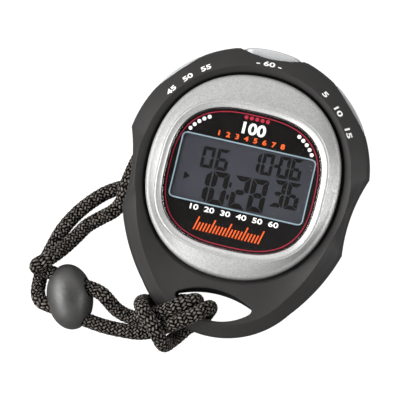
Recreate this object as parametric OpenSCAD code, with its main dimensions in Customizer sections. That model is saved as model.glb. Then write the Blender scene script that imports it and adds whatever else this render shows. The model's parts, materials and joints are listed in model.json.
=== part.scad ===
// Digital sports stopwatch on a lanyard.
// Millimetres. +Z points out of the display, +Y from the chin to the mode button.
// The watch lies on the round boss of its rear cover, whose face is z = 0.

/* [Case] */
// Radius of the round upper part of the case
case_r = 33; // [32:0.05:34]
// Radius of the round end of the chin
chin_r = 24.55; // [23:0.05:26]
// Centre of the chin's round end below the centre of the case
chin_drop = 21.2; // [19:0.1:22]
// Radius of the hollow of the two finger grips
grip_r = 45.5; // [36:0.5:60]
// Height of the widest line of the case above the table
waist_z = 9.8; // [9:0.1:10.5]
// Height of the raised ridge round the bezel
ridge_z = 15.4; // [14.5:0.1:16]
// Ridge in from the outline at the sides of the case
ridge_in = 4.9; // [4:0.05:5.5]
// Height of the outer back edge of the case
back_z = 4.6; // [4.4:0.1:5]
// Width of the lanyard eye
eye_w = 21.9; // [18:0.1:22]
// Thickness of the bar below the eye
eye_bar = 4.15; // [4:0.05:5]

/* [Bezel and display] */
// Half width of the silver bezel
bezel_w = 25.7; // [25:0.1:26]
// Half height of the silver bezel
bezel_h = 27.25; // [26.5:0.05:27.6]
// Height of the top of the bezel
bezel_z = 17.2; // [16.5:0.1:18]
// Half width of the window lens
lens_w = 20.45; // [20:0.05:21]
// Half height of the window lens
lens_h = 18.65; // [18:0.05:19.5]
// Height of the outer face of the lens
lens_z = 16.5; // [16:0.1:17]
// Width of the bevel that leads down to the lens
bevel_w = 1.6; // [1:0.1:2]
// Width of the display opening in the mask
display_w = 36.7; // [34:0.1:37]
// Height of the display opening in the mask
display_h = 17.9; // [16:0.1:18]

/* [Buttons] */
// Length of a button cap along the rim
cap_w = 16.4; // [14:0.1:16.6]
// Height of the two side caps
cap_h = 5; // [4.4:0.1:5.2]
// Height of the mode cap
mode_h = 6.4; // [5.6:0.1:6.6]
// Reach of the two side caps from the centre of the case
side_reach = 33.1; // [32.4:0.05:33.4]
// Reach of the mode cap from the centre of the case
mode_reach = 32.65; // [32:0.05:33]
// Distance of the flat in front of a side cap from the centre
flat_r = 32; // [31.5:0.05:32.2]
// Press of a button
travel = 1.2; // [0.8:0.1:1.4]
// Radius of a button stem
stem_r = 0.9; // [0.8:0.05:1]
// Height of the stems above the table
stem_z = 8.2; // [8:0.1:8.4]

/* [Back] */
// Radius of the boss that the watch lies on
boss_r = 18.5; // [17:0.1:19]
// Radius of the rear cover
cover_r = 24.8; // [24.5:0.1:24.9]
// Height of the outer face of the rear cover's flange
flange_z = 4.4; // [4.2:0.1:4.6]
// Wall of the rear cover
cover_wall = 1.6; // [1.4:0.1:1.8]

/* [Lanyard] */
// Diameter of the cord
cord_d = 3.8; // [3:0.1:3.9]
// Length of the cord lock
lock_l = 17.8; // [16:0.1:20]
// Diameter of the cord lock
lock_d = 12.5; // [11:0.1:13]
// Diameter of the two holes in the cord lock
lock_hole_d = 4.4; // [4.3:0.1:4.6]

/* [Hidden] */

$fn = 64;
eps = 0.01;

case_black = [0.20, 0.195, 0.19];
cap_silver = [0.72, 0.73, 0.75];
steel = [0.75, 0.75, 0.77];
brass = [0.80, 0.66, 0.36];

// The centre of the round case lies this far up from the middle of the whole outline.
face_y = (chin_drop + chin_r - mode_reach) / 2;

// Inside of the case
cavity_r = 21;
ledge_z = 12.2;
cover_in_z = flange_z + 1.8;
recess_r = cover_r + 0.2;

// Bezel and lens sit a little below the centre of the case.
bezel_y = -2.65;
lens_y = -4.05;
display_y = -2.95;
bezel_power = 2.15;
lens_power = 2.8;
bezel_edge_z = 14.3;
lens_t = 1.6;
lens_seat = 0.5;
mask_t = 0.2;
shelf_t = 0.5;
shelf_z = lens_z - lens_t - mask_t;
frame_top_z = shelf_z - shelf_t;

// Button angles round the case, anticlockwise from +X
start_stop_a = 43;
lap_reset_a = 137;
mode_a = 90;
cap_in_r = 28.6;
pocket_r = cap_in_r - travel - 0.2;
pocket_gap = 0.2;
counterbore_r = 25.4;
spring_room = 2.5;
spring_in_cap = 1.6;
bore_r = stem_r + 0.08;
stem_tip_r = 19.6;
stem_top_r = 30.9;
clip_r = 20.3;
clip_t = 0.4;
seal_r = 23.4;
seal_wire = 0.3;
groove_r = 0.6;

// Board and what is on it
board_z = 9.8;
board_t = 1;
board_r = 20.4;
cell_r = 10;
cell_t = 3.2;
cell_z = 6.1;
cell_y = -4;
display_glass_w = 38.6;
display_glass_h = 21.4;
display_glass_z = 12.5;
sounder_y = 4;
sounder_spring_y = 9.5;
screw_r = 23.1;
screw_angles = [15, 165, 225, 315];
post_angles = [-20, 200, 250, 290];
post_r = 18.8;
frame_screw_xy = [[-11, 14.6], [11, 14.6], [-9, -16.6], [9, -16.6]];

// Outline of the case in polar form round the centre of the case
grip_top_a = 7.5;
grip_low = [30.1, -17];
grip_low_a = atan2(grip_low[1], grip_low[0]);
grip_top = case_r * [cos(grip_top_a), sin(grip_top_a)];
flank_r = 51.5;
flank_foot_a = -35;
flank_foot = [0, -chin_drop] + chin_r * [cos(flank_foot_a), sin(flank_foot_a)];
chin_end_a = atan2(flank_foot[1], flank_foot[0]);

// Centre of the arc of radius r from p to q; side +1 puts it left of the way from p to q.
function arc_centre(p, q, r, side) =
    let (d = q - p, m = (p + q) / 2, h = sqrt(r * r - d * d / 4))
    m + side * h * [-d[1], d[0]] / norm(d);
grip_c = arc_centre(grip_low, grip_top, grip_r, -1);
flank_c = arc_centre(flank_foot, grip_low, flank_r, 1);

// Distance along the ray at angle a to a circle; far +1 or near -1 crossing.
function ray_circle(a, c, r, far) =
    let (u = [cos(a), sin(a)], b = u * c)
    b + far * sqrt(b * b - c * c + r * r);
function fold(a) = a > 90 ? 180 - a : a;
function outline_half(a) =
    a < chin_end_a ? ray_circle(a, [0, -chin_drop], chin_r, 1) :
    a < grip_low_a ? ray_circle(a, flank_c, flank_r, 1) :
    a < grip_top_a ? ray_circle(a, grip_c, grip_r, -1) : case_r;
function outline(a) = outline_half(fold(a));
// The same outline with the grips filled in, which the ridge follows
function plain_half(a) =
    a > grip_low_a && a < grip_top_a ?
        case_r + (norm(grip_low) - case_r) * (grip_top_a - a) / (grip_top_a - grip_low_a) :
        outline_half(a);
function plain(a) = plain_half(fold(a));

function steps(from, to, n) = [for (i = [0 : n - 1]) from + (to - from) * i / n];
right_angles = concat(steps(-90, chin_end_a, 8), steps(chin_end_a, grip_low_a, 7),
    steps(grip_low_a, grip_top_a, 10), steps(grip_top_a, 90, 19));
half_n = len(right_angles);
case_angles = concat(right_angles, [90], [for (i = [half_n - 1 : -1 : 1]) 180 - right_angles[i]]);

function clamp(x, lo, hi) = min(hi, max(lo, x));
function smooth(t) = let (s = clamp(t, 0, 1)) s * s * (3 - 2 * s);
// The chin gets thinner towards its end, from both faces.
chin_from = 18;
chin_len = 24;
chin_front = 0.45;
chin_back = 0.22;
function chin_z(y, z) =
    let (f = smooth((-y - chin_from) / chin_len))
    waist_z + (z - waist_z) * (1 - f * (z > waist_z ? chin_front : chin_back));

// Superellipse radius at angle a
function oval_r(a, w, h, p) = pow(pow(abs(cos(a)) / w, p) + pow(abs(sin(a)) / h, p), -1 / p);
function oval_point(a, w, h, p, y) = [0, y] + oval_r(a, w, h, p) * [cos(a), sin(a)];
function bezel_point(a, inset) = oval_point(a, bezel_w - inset, bezel_h - inset, bezel_power, bezel_y);
function lens_point(a, inset) = oval_point(a, lens_w - inset, lens_h - inset, lens_power, lens_y);

// Rings of the case: outline moved in by d at height z
function case_ring(d, z) = [for (a = case_angles)
    let (r = outline(a) - d, x = r * cos(a), y = r * sin(a)) [x, y, chin_z(y, z)]];
// The ridge lies further in at the top and further out at the chin, and stays inside the grips.
ridge_top = 1.05;
ridge_chin = 1.5;
function ridge_inset(a) = let (h = sin(a)) ridge_in + (h > 0 ? ridge_top * h : -ridge_chin * h * h);
function ridge_ring(share, z) = [for (a = case_angles)
    let (crest = min(plain(a) - ridge_inset(a), outline(a) - 1.5), foot = outline(a) - 1.2,
        r = foot + (crest - foot) * share, x = r * cos(a), y = r * sin(a)) [x, y, chin_z(y, z)]];
function seat_ring(z) = [for (a = case_angles) let (p = bezel_point(a, -0.15)) [p[0], p[1], z]];
function round_ring(r, z) = [for (a = case_angles) [r * cos(a), r * sin(a), z]];
function back_ring(r, z) = [for (a = case_angles) let (y = r * sin(a)) [r * cos(a), y, chin_z(y, z)]];
function between(p, q, t) = [for (i = [0 : len(p) - 1]) p[i] + (q[i] - p[i]) * t];

// Skin over rings of equal length. A closed skin joins the last ring to the first.
module skin(rings, closed) {
    n = len(rings[0]);
    m = len(rings);
    walls = [for (i = [0 : m - (closed ? 1 : 2)]) for (j = [0 : n - 1])
        let (k = (j + 1) % n, above = ((i + 1) % m) * n)
        let (a = i * n + j, b = i * n + k, c = above + j, d = above + k)
        each [[a, c, b], [b, c, d]]];
    ends = closed ? [] : [[for (j = [0 : n - 1]) j], [for (j = [n - 1 : -1 : 0]) (m - 1) * n + j]];
    polyhedron(points = [for (ring = rings) each ring], faces = concat(walls, ends), convexity = 10);
}

module at_face() {
    translate([0, face_y, 0])
        children();
}

// Turns +X to point outwards at a button, at the height of the stems.
module at_button(a) {
    at_face()
        rotate([0, 0, a])
            translate([0, 0, stem_z])
                children();
}

// A cylinder along +X from one radius to another
module along(r, from, to) {
    translate([from, 0, 0])
        rotate([0, 90, 0])
            cylinder(r = r, h = to - from);
}

// A bar with round ends along the rim, from one radius to another
module pill(w, h, from, to) {
    side = (w - h) / 2;
    translate([from, -side, -h / 2])
        cube([to - from, 2 * side, h]);
    for (y = [-side, side])
        translate([0, y, 0])
            along(h / 2, from, to);
}

// Middle of the mode cap above the stems
mode_lift = 0.85;

module button_pocket(a, h, lift) {
    at_button(a) {
        translate([0, 0, lift])
            pill(cap_w + 2 * pocket_gap, h + 2 * pocket_gap, pocket_r, case_r + 3);
        along(spring_room, counterbore_r, pocket_r + eps);
        along(bore_r, cavity_r - 1, counterbore_r + eps);
    }
}

eye_top_s = 2.5;
eye_low_s = 4.8;
eye_low_y = -chin_drop - chin_r + eye_bar;
eye_mid_y = eye_low_y + eye_low_s;
function bow_r(s) = (eye_w * eye_w / 4 + s * s) / (2 * s);

module eye(z0, z1) {
    translate([0, 0, z0])
        linear_extrude(z1 - z0)
            intersection() {
                translate([0, eye_mid_y + eye_top_s - bow_r(eye_top_s)])
                    circle(r = bow_r(eye_top_s), $fn = 96);
                translate([0, eye_mid_y - eye_low_s + bow_r(eye_low_s)])
                    circle(r = bow_r(eye_low_s), $fn = 96);
            }
}

// Hollow in the rim in front of the mode cap
thumb_y = 29.9;
thumb_r = 24.5;

module case_body() {
    crest = ridge_ring(1, ridge_z);
    seat = seat_ring(13.4);
    slope = between(crest, seat, 0.6);
    color(case_black)
        difference() {
            at_face()
                skin([back_ring(recess_r, back_z), case_ring(4, back_z), case_ring(2.4, 5.2),
                    case_ring(1.2, 6.2), case_ring(0.4, 7.6), case_ring(0, 9.2), case_ring(0, 10.4),
                    case_ring(0.45, 11.7), ridge_ring(0, 12.6), ridge_ring(0.5, 14.15), crest, slope, seat,
                    seat_ring(ledge_z), round_ring(cavity_r, ledge_z), round_ring(cavity_r, cover_in_z),
                    round_ring(recess_r, cover_in_z)], true);
            at_face() {
                eye(0, 20);
                for (a = [start_stop_a, lap_reset_a])
                    rotate([0, 0, a])
                        translate([flat_r, -20, 0])
                            cube([10, 40, 20]);
                translate([0, thumb_y + thumb_r, stem_z])
                    cylinder(r = thumb_r, h = 10, $fn = 128);
                for (a = screw_angles)
                    rotate([0, 0, a])
                        translate([screw_r, 0, cover_in_z - 1])
                            cylinder(r = 0.8, h = 5);
            }
            button_pocket(start_stop_a, cap_h, 0);
            button_pocket(lap_reset_a, cap_h, 0);
            button_pocket(mode_a, mode_h, mode_lift);
        }
}

module rear_cover() {
    color(case_black)
        at_face()
            difference() {
                union() {
                    cylinder(r1 = boss_r - 0.8, r2 = boss_r, h = 0.8);
                    translate([0, 0, 0.8])
                        cylinder(r = boss_r, h = flange_z - 0.8);
                    translate([0, 0, flange_z])
                        cylinder(r = cover_r, h = cover_in_z - flange_z);
                    for (a = post_angles)
                        rotate([0, 0, a])
                            translate([post_r, 0, flange_z + 1])
                                cylinder(r = 1.2, h = board_z - flange_z - 1);
                }
                translate([0, 0, cover_wall])
                    cylinder(r = boss_r - cover_wall, h = 10);
                translate([0, 0, cover_in_z - 0.4])
                    difference() {
                        cylinder(r = 21.7, h = 1);
                        cylinder(r = 21.1, h = 1);
                    }
                for (a = screw_angles)
                    rotate([0, 0, a])
                        translate([screw_r, 0, 0]) {
                            cylinder(r = 1, h = 10);
                            cylinder(r = 1.6, h = flange_z + 1);
                        }
            }
}

module cover_gasket() {
    color([0.12, 0.12, 0.12])
        at_face()
            translate([0, 0, cover_in_z - 0.4])
                difference() {
                    cylinder(r = 21.7, h = 0.4);
                    translate([0, 0, -1])
                        cylinder(r = 21.1, h = 2);
                }
}

// A pan-head screw, head down, with a cross recess
module screw(head_r, head_h, shank_r, shank_h) {
    difference() {
        cylinder(r = head_r, h = head_h);
        for (a = [0, 90])
            rotate([0, 0, a])
                translate([-head_r * 0.6, -0.2, -eps])
                    cube([head_r * 1.2, 0.4, head_h * 0.6]);
    }
    translate([0, 0, head_h])
        cylinder(r = shank_r, h = shank_h);
}

module cover_screws() {
    color(steel)
        at_face()
            for (a = screw_angles)
                rotate([0, 0, a])
                    translate([screw_r, 0, flange_z + 0.1])
                        screw(1.5, 0.9, 0.8, 4.5);
}

bezel_n = 96;
bezel_angles = [for (i = [0 : bezel_n - 1]) 360 * i / bezel_n];
function bezel_ring(inset, z) = [for (a = bezel_angles) let (p = bezel_point(a, inset)) [p[0], p[1], z]];
function lens_ring(inset, z) = [for (a = bezel_angles) let (p = lens_point(a, inset)) [p[0], p[1], z]];

module silver_bezel() {
    dome = bezel_ring(2.6, bezel_edge_z + 1.9);
    bevel = lens_ring(-bevel_w, bezel_z);
    color([0.80, 0.81, 0.82])
        at_face()
            skin([bezel_ring(2.2, ledge_z), bezel_ring(0, ledge_z), bezel_ring(0, bezel_edge_z),
                bezel_ring(0.35, bezel_edge_z + 0.8), bezel_ring(1.1, bezel_edge_z + 1.4), dome,
                between(dome, bevel, 0.5), bevel, lens_ring(-0.05, lens_z),
                lens_ring(-0.05, shelf_z), lens_ring(lens_seat, shelf_z),
                lens_ring(lens_seat, frame_top_z), bezel_ring(2.2, frame_top_z)], true);
}

module lens_plate(inset, z, t) {
    at_face()
        translate([0, 0, z])
            linear_extrude(t)
                polygon([for (a = bezel_angles) lens_point(a, inset)]);
}

module window_lens() {
    color([0.10, 0.09, 0.08])
        lens_plate(0, lens_z - lens_t, lens_t);
}

module lens_mask() {
    color([0.06, 0.05, 0.05])
        difference() {
            lens_plate(0.05, shelf_z, mask_t);
            at_face()
                translate([-display_w / 2, display_y - display_h / 2, 0])
                    cube([display_w, display_h, 30]);
        }
}

// A plate round the middle of the display
module display_plate(w, h, z, t) {
    at_face()
        translate([-w / 2, display_y - h / 2, z])
            cube([w, h, t]);
}

polariser_t = 0.2;

module display_polariser() {
    color([0.45, 0.46, 0.48])
        display_plate(display_glass_w - 0.8, display_glass_h - 2.4, display_glass_z + 1.4, polariser_t);
}

module display_glass() {
    color([0.40, 0.41, 0.43])
        display_plate(display_glass_w, display_glass_h, display_glass_z, 1.4);
}

module display_reflector() {
    color([0.62, 0.62, 0.60])
        display_plate(display_glass_w - 0.8, display_glass_h - 4.4,
            display_glass_z - polariser_t, polariser_t);
}

strip_w = 30;
strip_h = 1.2;

module connector_strip_room(gap) {
    off_middle = display_glass_h / 2 - 1.1;
    for (side = [-1, 1])
        at_face()
            translate([-strip_w / 2 - gap, display_y + side * off_middle - strip_h / 2 - gap,
                board_z + board_t])
                cube([strip_w + 2 * gap, strip_h + 2 * gap, display_glass_z - board_z - board_t]);
}

module module_frame() {
    frame_r = cavity_r - 0.3;
    tray_w = 40.6;
    tray_h = 23.4;
    floor_z = board_z + board_t;
    color([0.86, 0.86, 0.83])
        difference() {
            union() {
                at_face()
                    translate([0, 0, floor_z])
                        cylinder(r = frame_r, h = ledge_z - floor_z);
                display_plate(tray_w, tray_h, ledge_z, frame_top_z - ledge_z);
            }
            display_plate(display_glass_w + 0.1, display_glass_h + 0.1, display_glass_z, 10);
            display_plate(display_glass_w - 0.7, display_glass_h - 4.3, floor_z - 1, 10);
            connector_strip_room(0.05);
            at_face()
                for (p = frame_screw_xy)
                    translate([p[0], p[1], floor_z - 1])
                        cylinder(r = 0.6, h = 2.1);
        }
}

module connector_strips() {
    color([0.25, 0.25, 0.27])
        connector_strip_room(0);
}

module circuit_board() {
    color([0.10, 0.32, 0.18])
        at_face()
            difference() {
                translate([0, 0, board_z])
                    cylinder(r = board_r, h = board_t);
                for (p = frame_screw_xy)
                    translate([p[0], p[1], 0])
                        cylinder(r = 0.75, h = 30);
            }
}

module board_screws() {
    color(steel)
        at_face()
            for (p = frame_screw_xy)
                translate([p[0], p[1], board_z - 0.7])
                    screw(1.1, 0.7, 0.6, 1.9);
}

module chip_blob() {
    blob_r = 4.6;
    blob_h = 1;
    n = 8;
    color([0.05, 0.05, 0.06])
        at_face()
            translate([0, display_y, board_z + board_t])
                rotate_extrude()
                    polygon(concat([[0, 0]],
                        [for (i = [0 : n]) [blob_r * cos(90 * i / n), blob_h * sin(90 * i / n)]]));
}

module quartz_crystal() {
    color(steel)
        at_face()
            translate([12.5, 4, board_z - 1])
                rotate([90, 0, 0])
                    cylinder(r = 1, h = 6);
}

module chip_capacitors() {
    color([0.62, 0.52, 0.40])
        at_face()
            for (i = [0 : 3])
                translate([-17, -2 + 2.2 * i, board_z - 0.8])
                    cube([2, 1.2, 0.8]);
}

leaf_r = stem_tip_r - travel - 0.15;

module contact_leaves() {
    leaf_t = 0.25;
    color(brass)
        for (a = [start_stop_a, mode_a, lap_reset_a])
            at_button(a) {
                translate([leaf_r - leaf_t, -1.2, -1.2])
                    cube([leaf_t, 2.4, board_z - stem_z + 1.2]);
                translate([leaf_r - 3.4, -1.2, board_z - stem_z - leaf_t])
                    cube([3.4 - leaf_t, 2.4, leaf_t]);
            }
}

module coin_cell() {
    color(steel)
        at_face()
            translate([0, cell_y, cell_z]) {
                cylinder(r = cell_r, h = cell_t - 0.5);
                translate([0, 0, cell_t - 0.5])
                    cylinder(r = cell_r - 1.2, h = 0.5);
            }
}

module battery_clip() {
    clip_w = 5;
    strap_t = 0.4;
    half = cell_r + 0.3;
    color(steel)
        at_face()
            translate([0, cell_y - clip_w / 2, 0]) {
                translate([-half, 0, cell_z - strap_t])
                    cube([2 * half, clip_w, strap_t]);
                for (x = [-half - strap_t, half])
                    translate([x, 0, cell_z - strap_t])
                        cube([strap_t, clip_w, board_z - cell_z + strap_t]);
            }
}

module battery_leaf() {
    leaf_t = 0.2;
    top_z = cell_z + cell_t;
    color(brass)
        at_face()
            translate([0, cell_y - 2, 0]) {
                translate([-6, 0, top_z])
                    cube([10, 4, leaf_t]);
                translate([4, 0, top_z])
                    cube([leaf_t, 4, board_z - top_z]);
            }
}

module sounder_disc() {
    color(brass)
        at_face()
            translate([0, sounder_y, cover_wall]) {
                cylinder(r = 9, h = 0.25);
                translate([0, 0, 0.25])
                    cylinder(r = 6.8, h = 0.2);
            }
}

// A coil spring along +Z with flat-cut ends
module coil(r, wire, turns, h) {
    per_turn = 12;
    n = turns * per_turn;
    pitch = (h - wire) / turns;
    skin([for (i = [0 : n])
        let (a = 360 * i / per_turn, z = wire / 2 + pitch * i / per_turn)
        [for (j = [0 : 5]) let (b = -60 * j, out = r + wire / 2 * cos(b))
            [out * cos(a), out * sin(a), z + wire / 2 * sin(b)]]], false);
}

module sounder_spring() {
    bottom = cover_wall + 0.45;
    color(brass)
        at_face()
            translate([0, sounder_spring_y, bottom])
                coil(0.9, 0.3, 7, board_z - bottom);
}

module cap(a, h, lift, reach) {
    color(cap_silver)
        difference() {
            intersection() {
                at_button(a)
                    translate([0, 0, lift])
                        pill(cap_w, h, cap_in_r, reach + 1);
                at_face()
                    rotate([0, 0, a])
                        translate([reach - mode_reach, 0, 0])
                            cylinder(r = mode_reach, h = 30, $fn = 128);
            }
            at_button(a) {
                along(stem_r, cap_in_r - 1, stem_top_r);
                along(spring_room, cap_in_r - 1, cap_in_r + spring_in_cap);
            }
        }
}

module stem(a) {
    color(steel)
        at_button(a)
            difference() {
                along(stem_r, stem_tip_r, stem_top_r);
                for (groove = [[clip_r, clip_t], [seal_r - seal_wire, 2 * seal_wire]])
                    difference() {
                        along(stem_r + 1, groove[0], groove[0] + groove[1]);
                        along(groove_r, groove[0] - 1, groove[0] + groove[1] + 1);
                    }
            }
}

module spring(a) {
    wire = 0.45;
    length = cap_in_r + spring_in_cap - counterbore_r;
    color(steel)
        at_button(a)
            translate([counterbore_r, 0, 0])
                rotate([0, 90, 0])
                    coil(1.9, wire, 5, length);
}

module seal(a) {
    squeeze = bore_r - 0.02 - groove_r;
    color([0.10, 0.10, 0.10])
        at_button(a)
            translate([seal_r, 0, 0])
                rotate([0, 90, 0])
                    rotate_extrude()
                        translate([groove_r, -seal_wire + 0.02])
                            square([squeeze, 2 * seal_wire - 0.04]);
}

module clip(a) {
    color(steel)
        at_button(a)
            difference() {
                along(1.45, clip_r + 0.03, clip_r + clip_t - 0.03);
                along(groove_r, clip_r - 1, clip_r + 1);
                translate([clip_r - 1, -groove_r, -3])
                    cube([2, 2 * groove_r, 3]);
            }
}

module start_stop_cap() {
    cap(start_stop_a, cap_h, 0, side_reach);
}
module start_stop_stem() {
    stem(start_stop_a);
}
module start_stop_spring() {
    spring(start_stop_a);
}
module start_stop_seal() {
    seal(start_stop_a);
}
module start_stop_clip() {
    clip(start_stop_a);
}
module lap_reset_cap() {
    cap(lap_reset_a, cap_h, 0, side_reach);
}
module lap_reset_stem() {
    stem(lap_reset_a);
}
module lap_reset_spring() {
    spring(lap_reset_a);
}
module lap_reset_seal() {
    seal(lap_reset_a);
}
module lap_reset_clip() {
    clip(lap_reset_a);
}
module mode_cap() {
    cap(mode_a, mode_h, mode_lift, mode_reach);
}
module mode_stem() {
    stem(mode_a);
}
module mode_spring() {
    spring(mode_a);
}
module mode_seal() {
    seal(mode_a);
}
module mode_clip() {
    clip(mode_a);
}

// Cord lock: an ovoid with two parallel holes, lying on the table. At its right end the upper hole
// opens upwards.
lock_at = [-38.6, -37.5, lock_d / 2];
lock_turn = 22;
hole_turn = -8;
hole_apart = 4.82;
mouth_tilt = 13;

module cord_lock() {
    n = 24;
    profile = [for (i = [0 : n]) let (b = -90 + 180 * i / n)
        [max(0, lock_d / 2 * cos(b)), lock_l / 2 * sin(b)]];
    color([0.22, 0.22, 0.23])
        translate(lock_at)
            difference() {
                rotate([0, 0, lock_turn])
                    rotate([90, 0, 0])
                        rotate_extrude()
                            polygon(profile);
                for (side = [-1, 1])
                    rotate([0, 0, lock_turn])
                        translate([0, side * hole_apart, 0])
                            rotate([0, 0, hole_turn - lock_turn]) {
                                rotate([0, 90, 0])
                                    translate([0, 0, -12])
                                        cylinder(d = lock_hole_d, h = 24);
                                if (side > 0)
                                    rotate([0, 90 - mouth_tilt, 0])
                                        cylinder(d = lock_hole_d, h = 12);
                            }
            }
}

// Route of the cord: from behind the bar up through the eye, over the bar and under the bight, through the
// cord lock, round to the case and once round the boss, back through the lock, and once more round the bar.
cord_route = [
    [-6.55, -38.75, 2.55], [-4.7, -36.9, 2.6], [-2.6, -34.9, 2.95], [-1.2, -32.5, 5.4],
    [-0.8, -31.9, 8.2], [-0.8, -31.75, 11.4], [-1.6, -32.5, 14], [-3.4, -34.2, 15.6],
    [-6, -36.2, 15.7], [-8.5, -38, 14.5], [-11, -39.35, 11.4], [-13.4, -40.8, 9.1],
    [-17.6, -42.45, 7.2], [-23.2, -43, 6.3], [-27.6, -43.05, 6.25], [-31.6, -42.68, 6.25],
    [-34.4, -42.29, 6.25], [-37.5, -41.85, 6.25], [-41, -41.36, 6.25], [-43.2, -41.05, 6.25],
    [-44.6, -40.85, 6.25], [-45.95, -40.5, 5.8], [-47.1, -39.55, 4.9], [-47.9, -38.1, 3.9],
    [-48.4, -35.6, 2.6], [-48.5, -32.6, 2.1], [-48.4, -30, 1.95], [-47.6, -26.4, 1.95],
    [-45.9, -20.4, 1.95], [-43.1, -15, 1.95], [-39.4, -10.3, 1.95], [-35.8, -7, 1.95],
    [-32, -5, 1.95], [-28.4, -5, 1.95], [-25, -7, 1.95], [-19, -12.3, 1.95], [-10, -17, 1.95],
    [0, -18.4, 1.95], [10, -17, 1.95], [18.6, -11.8, 1.95], [24, -3.8, 1.95], [26, 6.4, 1.95],
    [24, 16.4, 1.95], [18.5, 24.4, 1.95], [10, 29.6, 1.95], [0, 31.2, 1.95], [-10, 29.2, 1.95],
    [-19, 23.6, 1.95], [-25.6, 15.6, 1.95], [-28.6, 8.4, 2.1], [-30, 3, 3.3], [-30.6, -1.8, 5.4],
    [-31, -5.9, 6.1], [-31.1, -9, 5.4], [-32.8, -11.9, 4.2], [-36, -14.5, 2.8], [-39.4, -17.6, 2.3],
    [-41.4, -21, 3.1], [-43.3, -24.5, 5.2], [-45.2, -27.6, 8], [-46.8, -29.5, 9.6],
    [-48.3, -30.7, 9.7], [-49.1, -31.6, 8.6], [-48.6, -32.1, 7], [-47, -32.1, 6.25],
    [-39.7, -33.15, 6.25], [-36.6, -33.59, 6.4], [-34.2, -33.92, 6.85], [-31.9, -34.24, 7.25],
    [-29.95, -34.85, 7.3], [-28.1, -36.1, 6.8], [-25.4, -37.95, 5.8], [-21.6, -38.95, 5.8],
    [-17.4, -38.3, 7.8], [-14, -36.65, 11.9], [-10.9, -34.85, 14.4], [-8, -32.85, 15.3],
    [-5.7, -31.3, 14.1], [-4.8, -30.8, 11], [-4.9, -30.9, 7.4], [-6.4, -31.1, 4.4],
    [-9.6, -31.7, 2.7], [-13, -32.8, 2.6], [-16.4, -33.6, 3.4], [-18.6, -34, 6], [-19, -34.7, 9.4],
    [-18.3, -35.6, 13], [-16.7, -37.3, 15.6], [-14.5, -39.3, 16.1], [-12.6, -41.45, 15.1],
    [-11, -43.6, 12.2], [-10.3, -44.1, 8.2], [-9.5, -43, 4.8], [-8.3, -41.3, 2.75],
    [-6.75, -39.1, 2.55]
];
cord_sides = 8;

function unit(v) = v / norm(v);
function way(i) = unit(cord_route[min(i + 1, len(cord_route) - 1)] - cord_route[max(i - 1, 0)]);
function carried(v, t) = unit(v - (v * t) * t);
function frames(i, v) = let (w = carried(v, way(i)))
    i == len(cord_route) - 1 ? [w] : concat([w], frames(i + 1, w));
cord_frames = frames(0, [0, 0, 1]);
// The ring is a little larger than the cord's radius so that its flats keep the cord's volume.
ring_r = cord_d / 2 * 1.03;

module lanyard_cord() {
    color([0.10, 0.10, 0.10])
        skin([for (i = [0 : len(cord_route) - 1])
            let (u = cord_frames[i], v = cross(way(i), u))
            [for (j = [0 : cord_sides - 1]) let (b = -360 * j / cord_sides)
                cord_route[i] + ring_r * (cos(b) * u + sin(b) * v)]], false);
}

case_body();
rear_cover();
cover_gasket();
cover_screws();
silver_bezel();
window_lens();
lens_mask();
display_polariser();
display_glass();
display_reflector();
module_frame();
connector_strips();
circuit_board();
board_screws();
chip_blob();
quartz_crystal();
chip_capacitors();
contact_leaves();
coin_cell();
battery_clip();
battery_leaf();
sounder_disc();
sounder_spring();
start_stop_cap();
start_stop_stem();
start_stop_spring();
start_stop_seal();
start_stop_clip();
lap_reset_cap();
lap_reset_stem();
lap_reset_spring();
lap_reset_seal();
lap_reset_clip();
mode_cap();
mode_stem();
mode_spring();
mode_seal();
mode_clip();
lanyard_cord();
cord_lock();
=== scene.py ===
"""Looks of a digital sports stopwatch on a braided lanyard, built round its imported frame."""

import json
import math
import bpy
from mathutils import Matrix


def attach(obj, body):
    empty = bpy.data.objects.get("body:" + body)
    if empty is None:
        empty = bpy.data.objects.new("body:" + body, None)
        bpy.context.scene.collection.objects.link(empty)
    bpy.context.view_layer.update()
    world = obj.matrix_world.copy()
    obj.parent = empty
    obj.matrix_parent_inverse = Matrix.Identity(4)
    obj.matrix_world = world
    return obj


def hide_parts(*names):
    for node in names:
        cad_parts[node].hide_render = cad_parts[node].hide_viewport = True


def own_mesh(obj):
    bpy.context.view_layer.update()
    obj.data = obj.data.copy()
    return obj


bl_info = {
    "name": "Digital stopwatch",
    "version": (1, 0, 0),
    "blender": (4, 5, 0),
    "location": "3D View > Sidebar > Stopwatch",
    "description": "Dresses the packed frame of a sports stopwatch: case, display, lanyard and studio",
    "category": "Object",
}

import bmesh
import bpy
import numpy as np
from bpy.props import FloatProperty, FloatVectorProperty, IntProperty, PointerProperty, StringProperty
from mathutils import Matrix, Vector
from mathutils.bvhtree import BVHTree

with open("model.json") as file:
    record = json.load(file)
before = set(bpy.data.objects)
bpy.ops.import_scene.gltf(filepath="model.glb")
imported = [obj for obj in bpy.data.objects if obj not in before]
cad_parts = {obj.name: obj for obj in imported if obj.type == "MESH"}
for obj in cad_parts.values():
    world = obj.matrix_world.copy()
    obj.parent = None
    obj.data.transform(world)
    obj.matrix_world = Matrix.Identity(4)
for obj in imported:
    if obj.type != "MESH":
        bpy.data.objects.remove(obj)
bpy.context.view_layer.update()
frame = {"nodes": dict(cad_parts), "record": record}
MM = 0.001
CASE_BODY = "case"

# The centre of the round case, which every ring and label is drawn round
FACE_Y = frame["record"]["mounts"][0]["pos_m"][1] / MM
# Height of the button stems above the table
STEM_Z = 8.2
# Turns at which the loops of a rounding lie
QUARTER_TURN = [math.radians(degrees) for degrees in range(0, 91, 15)]


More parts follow.
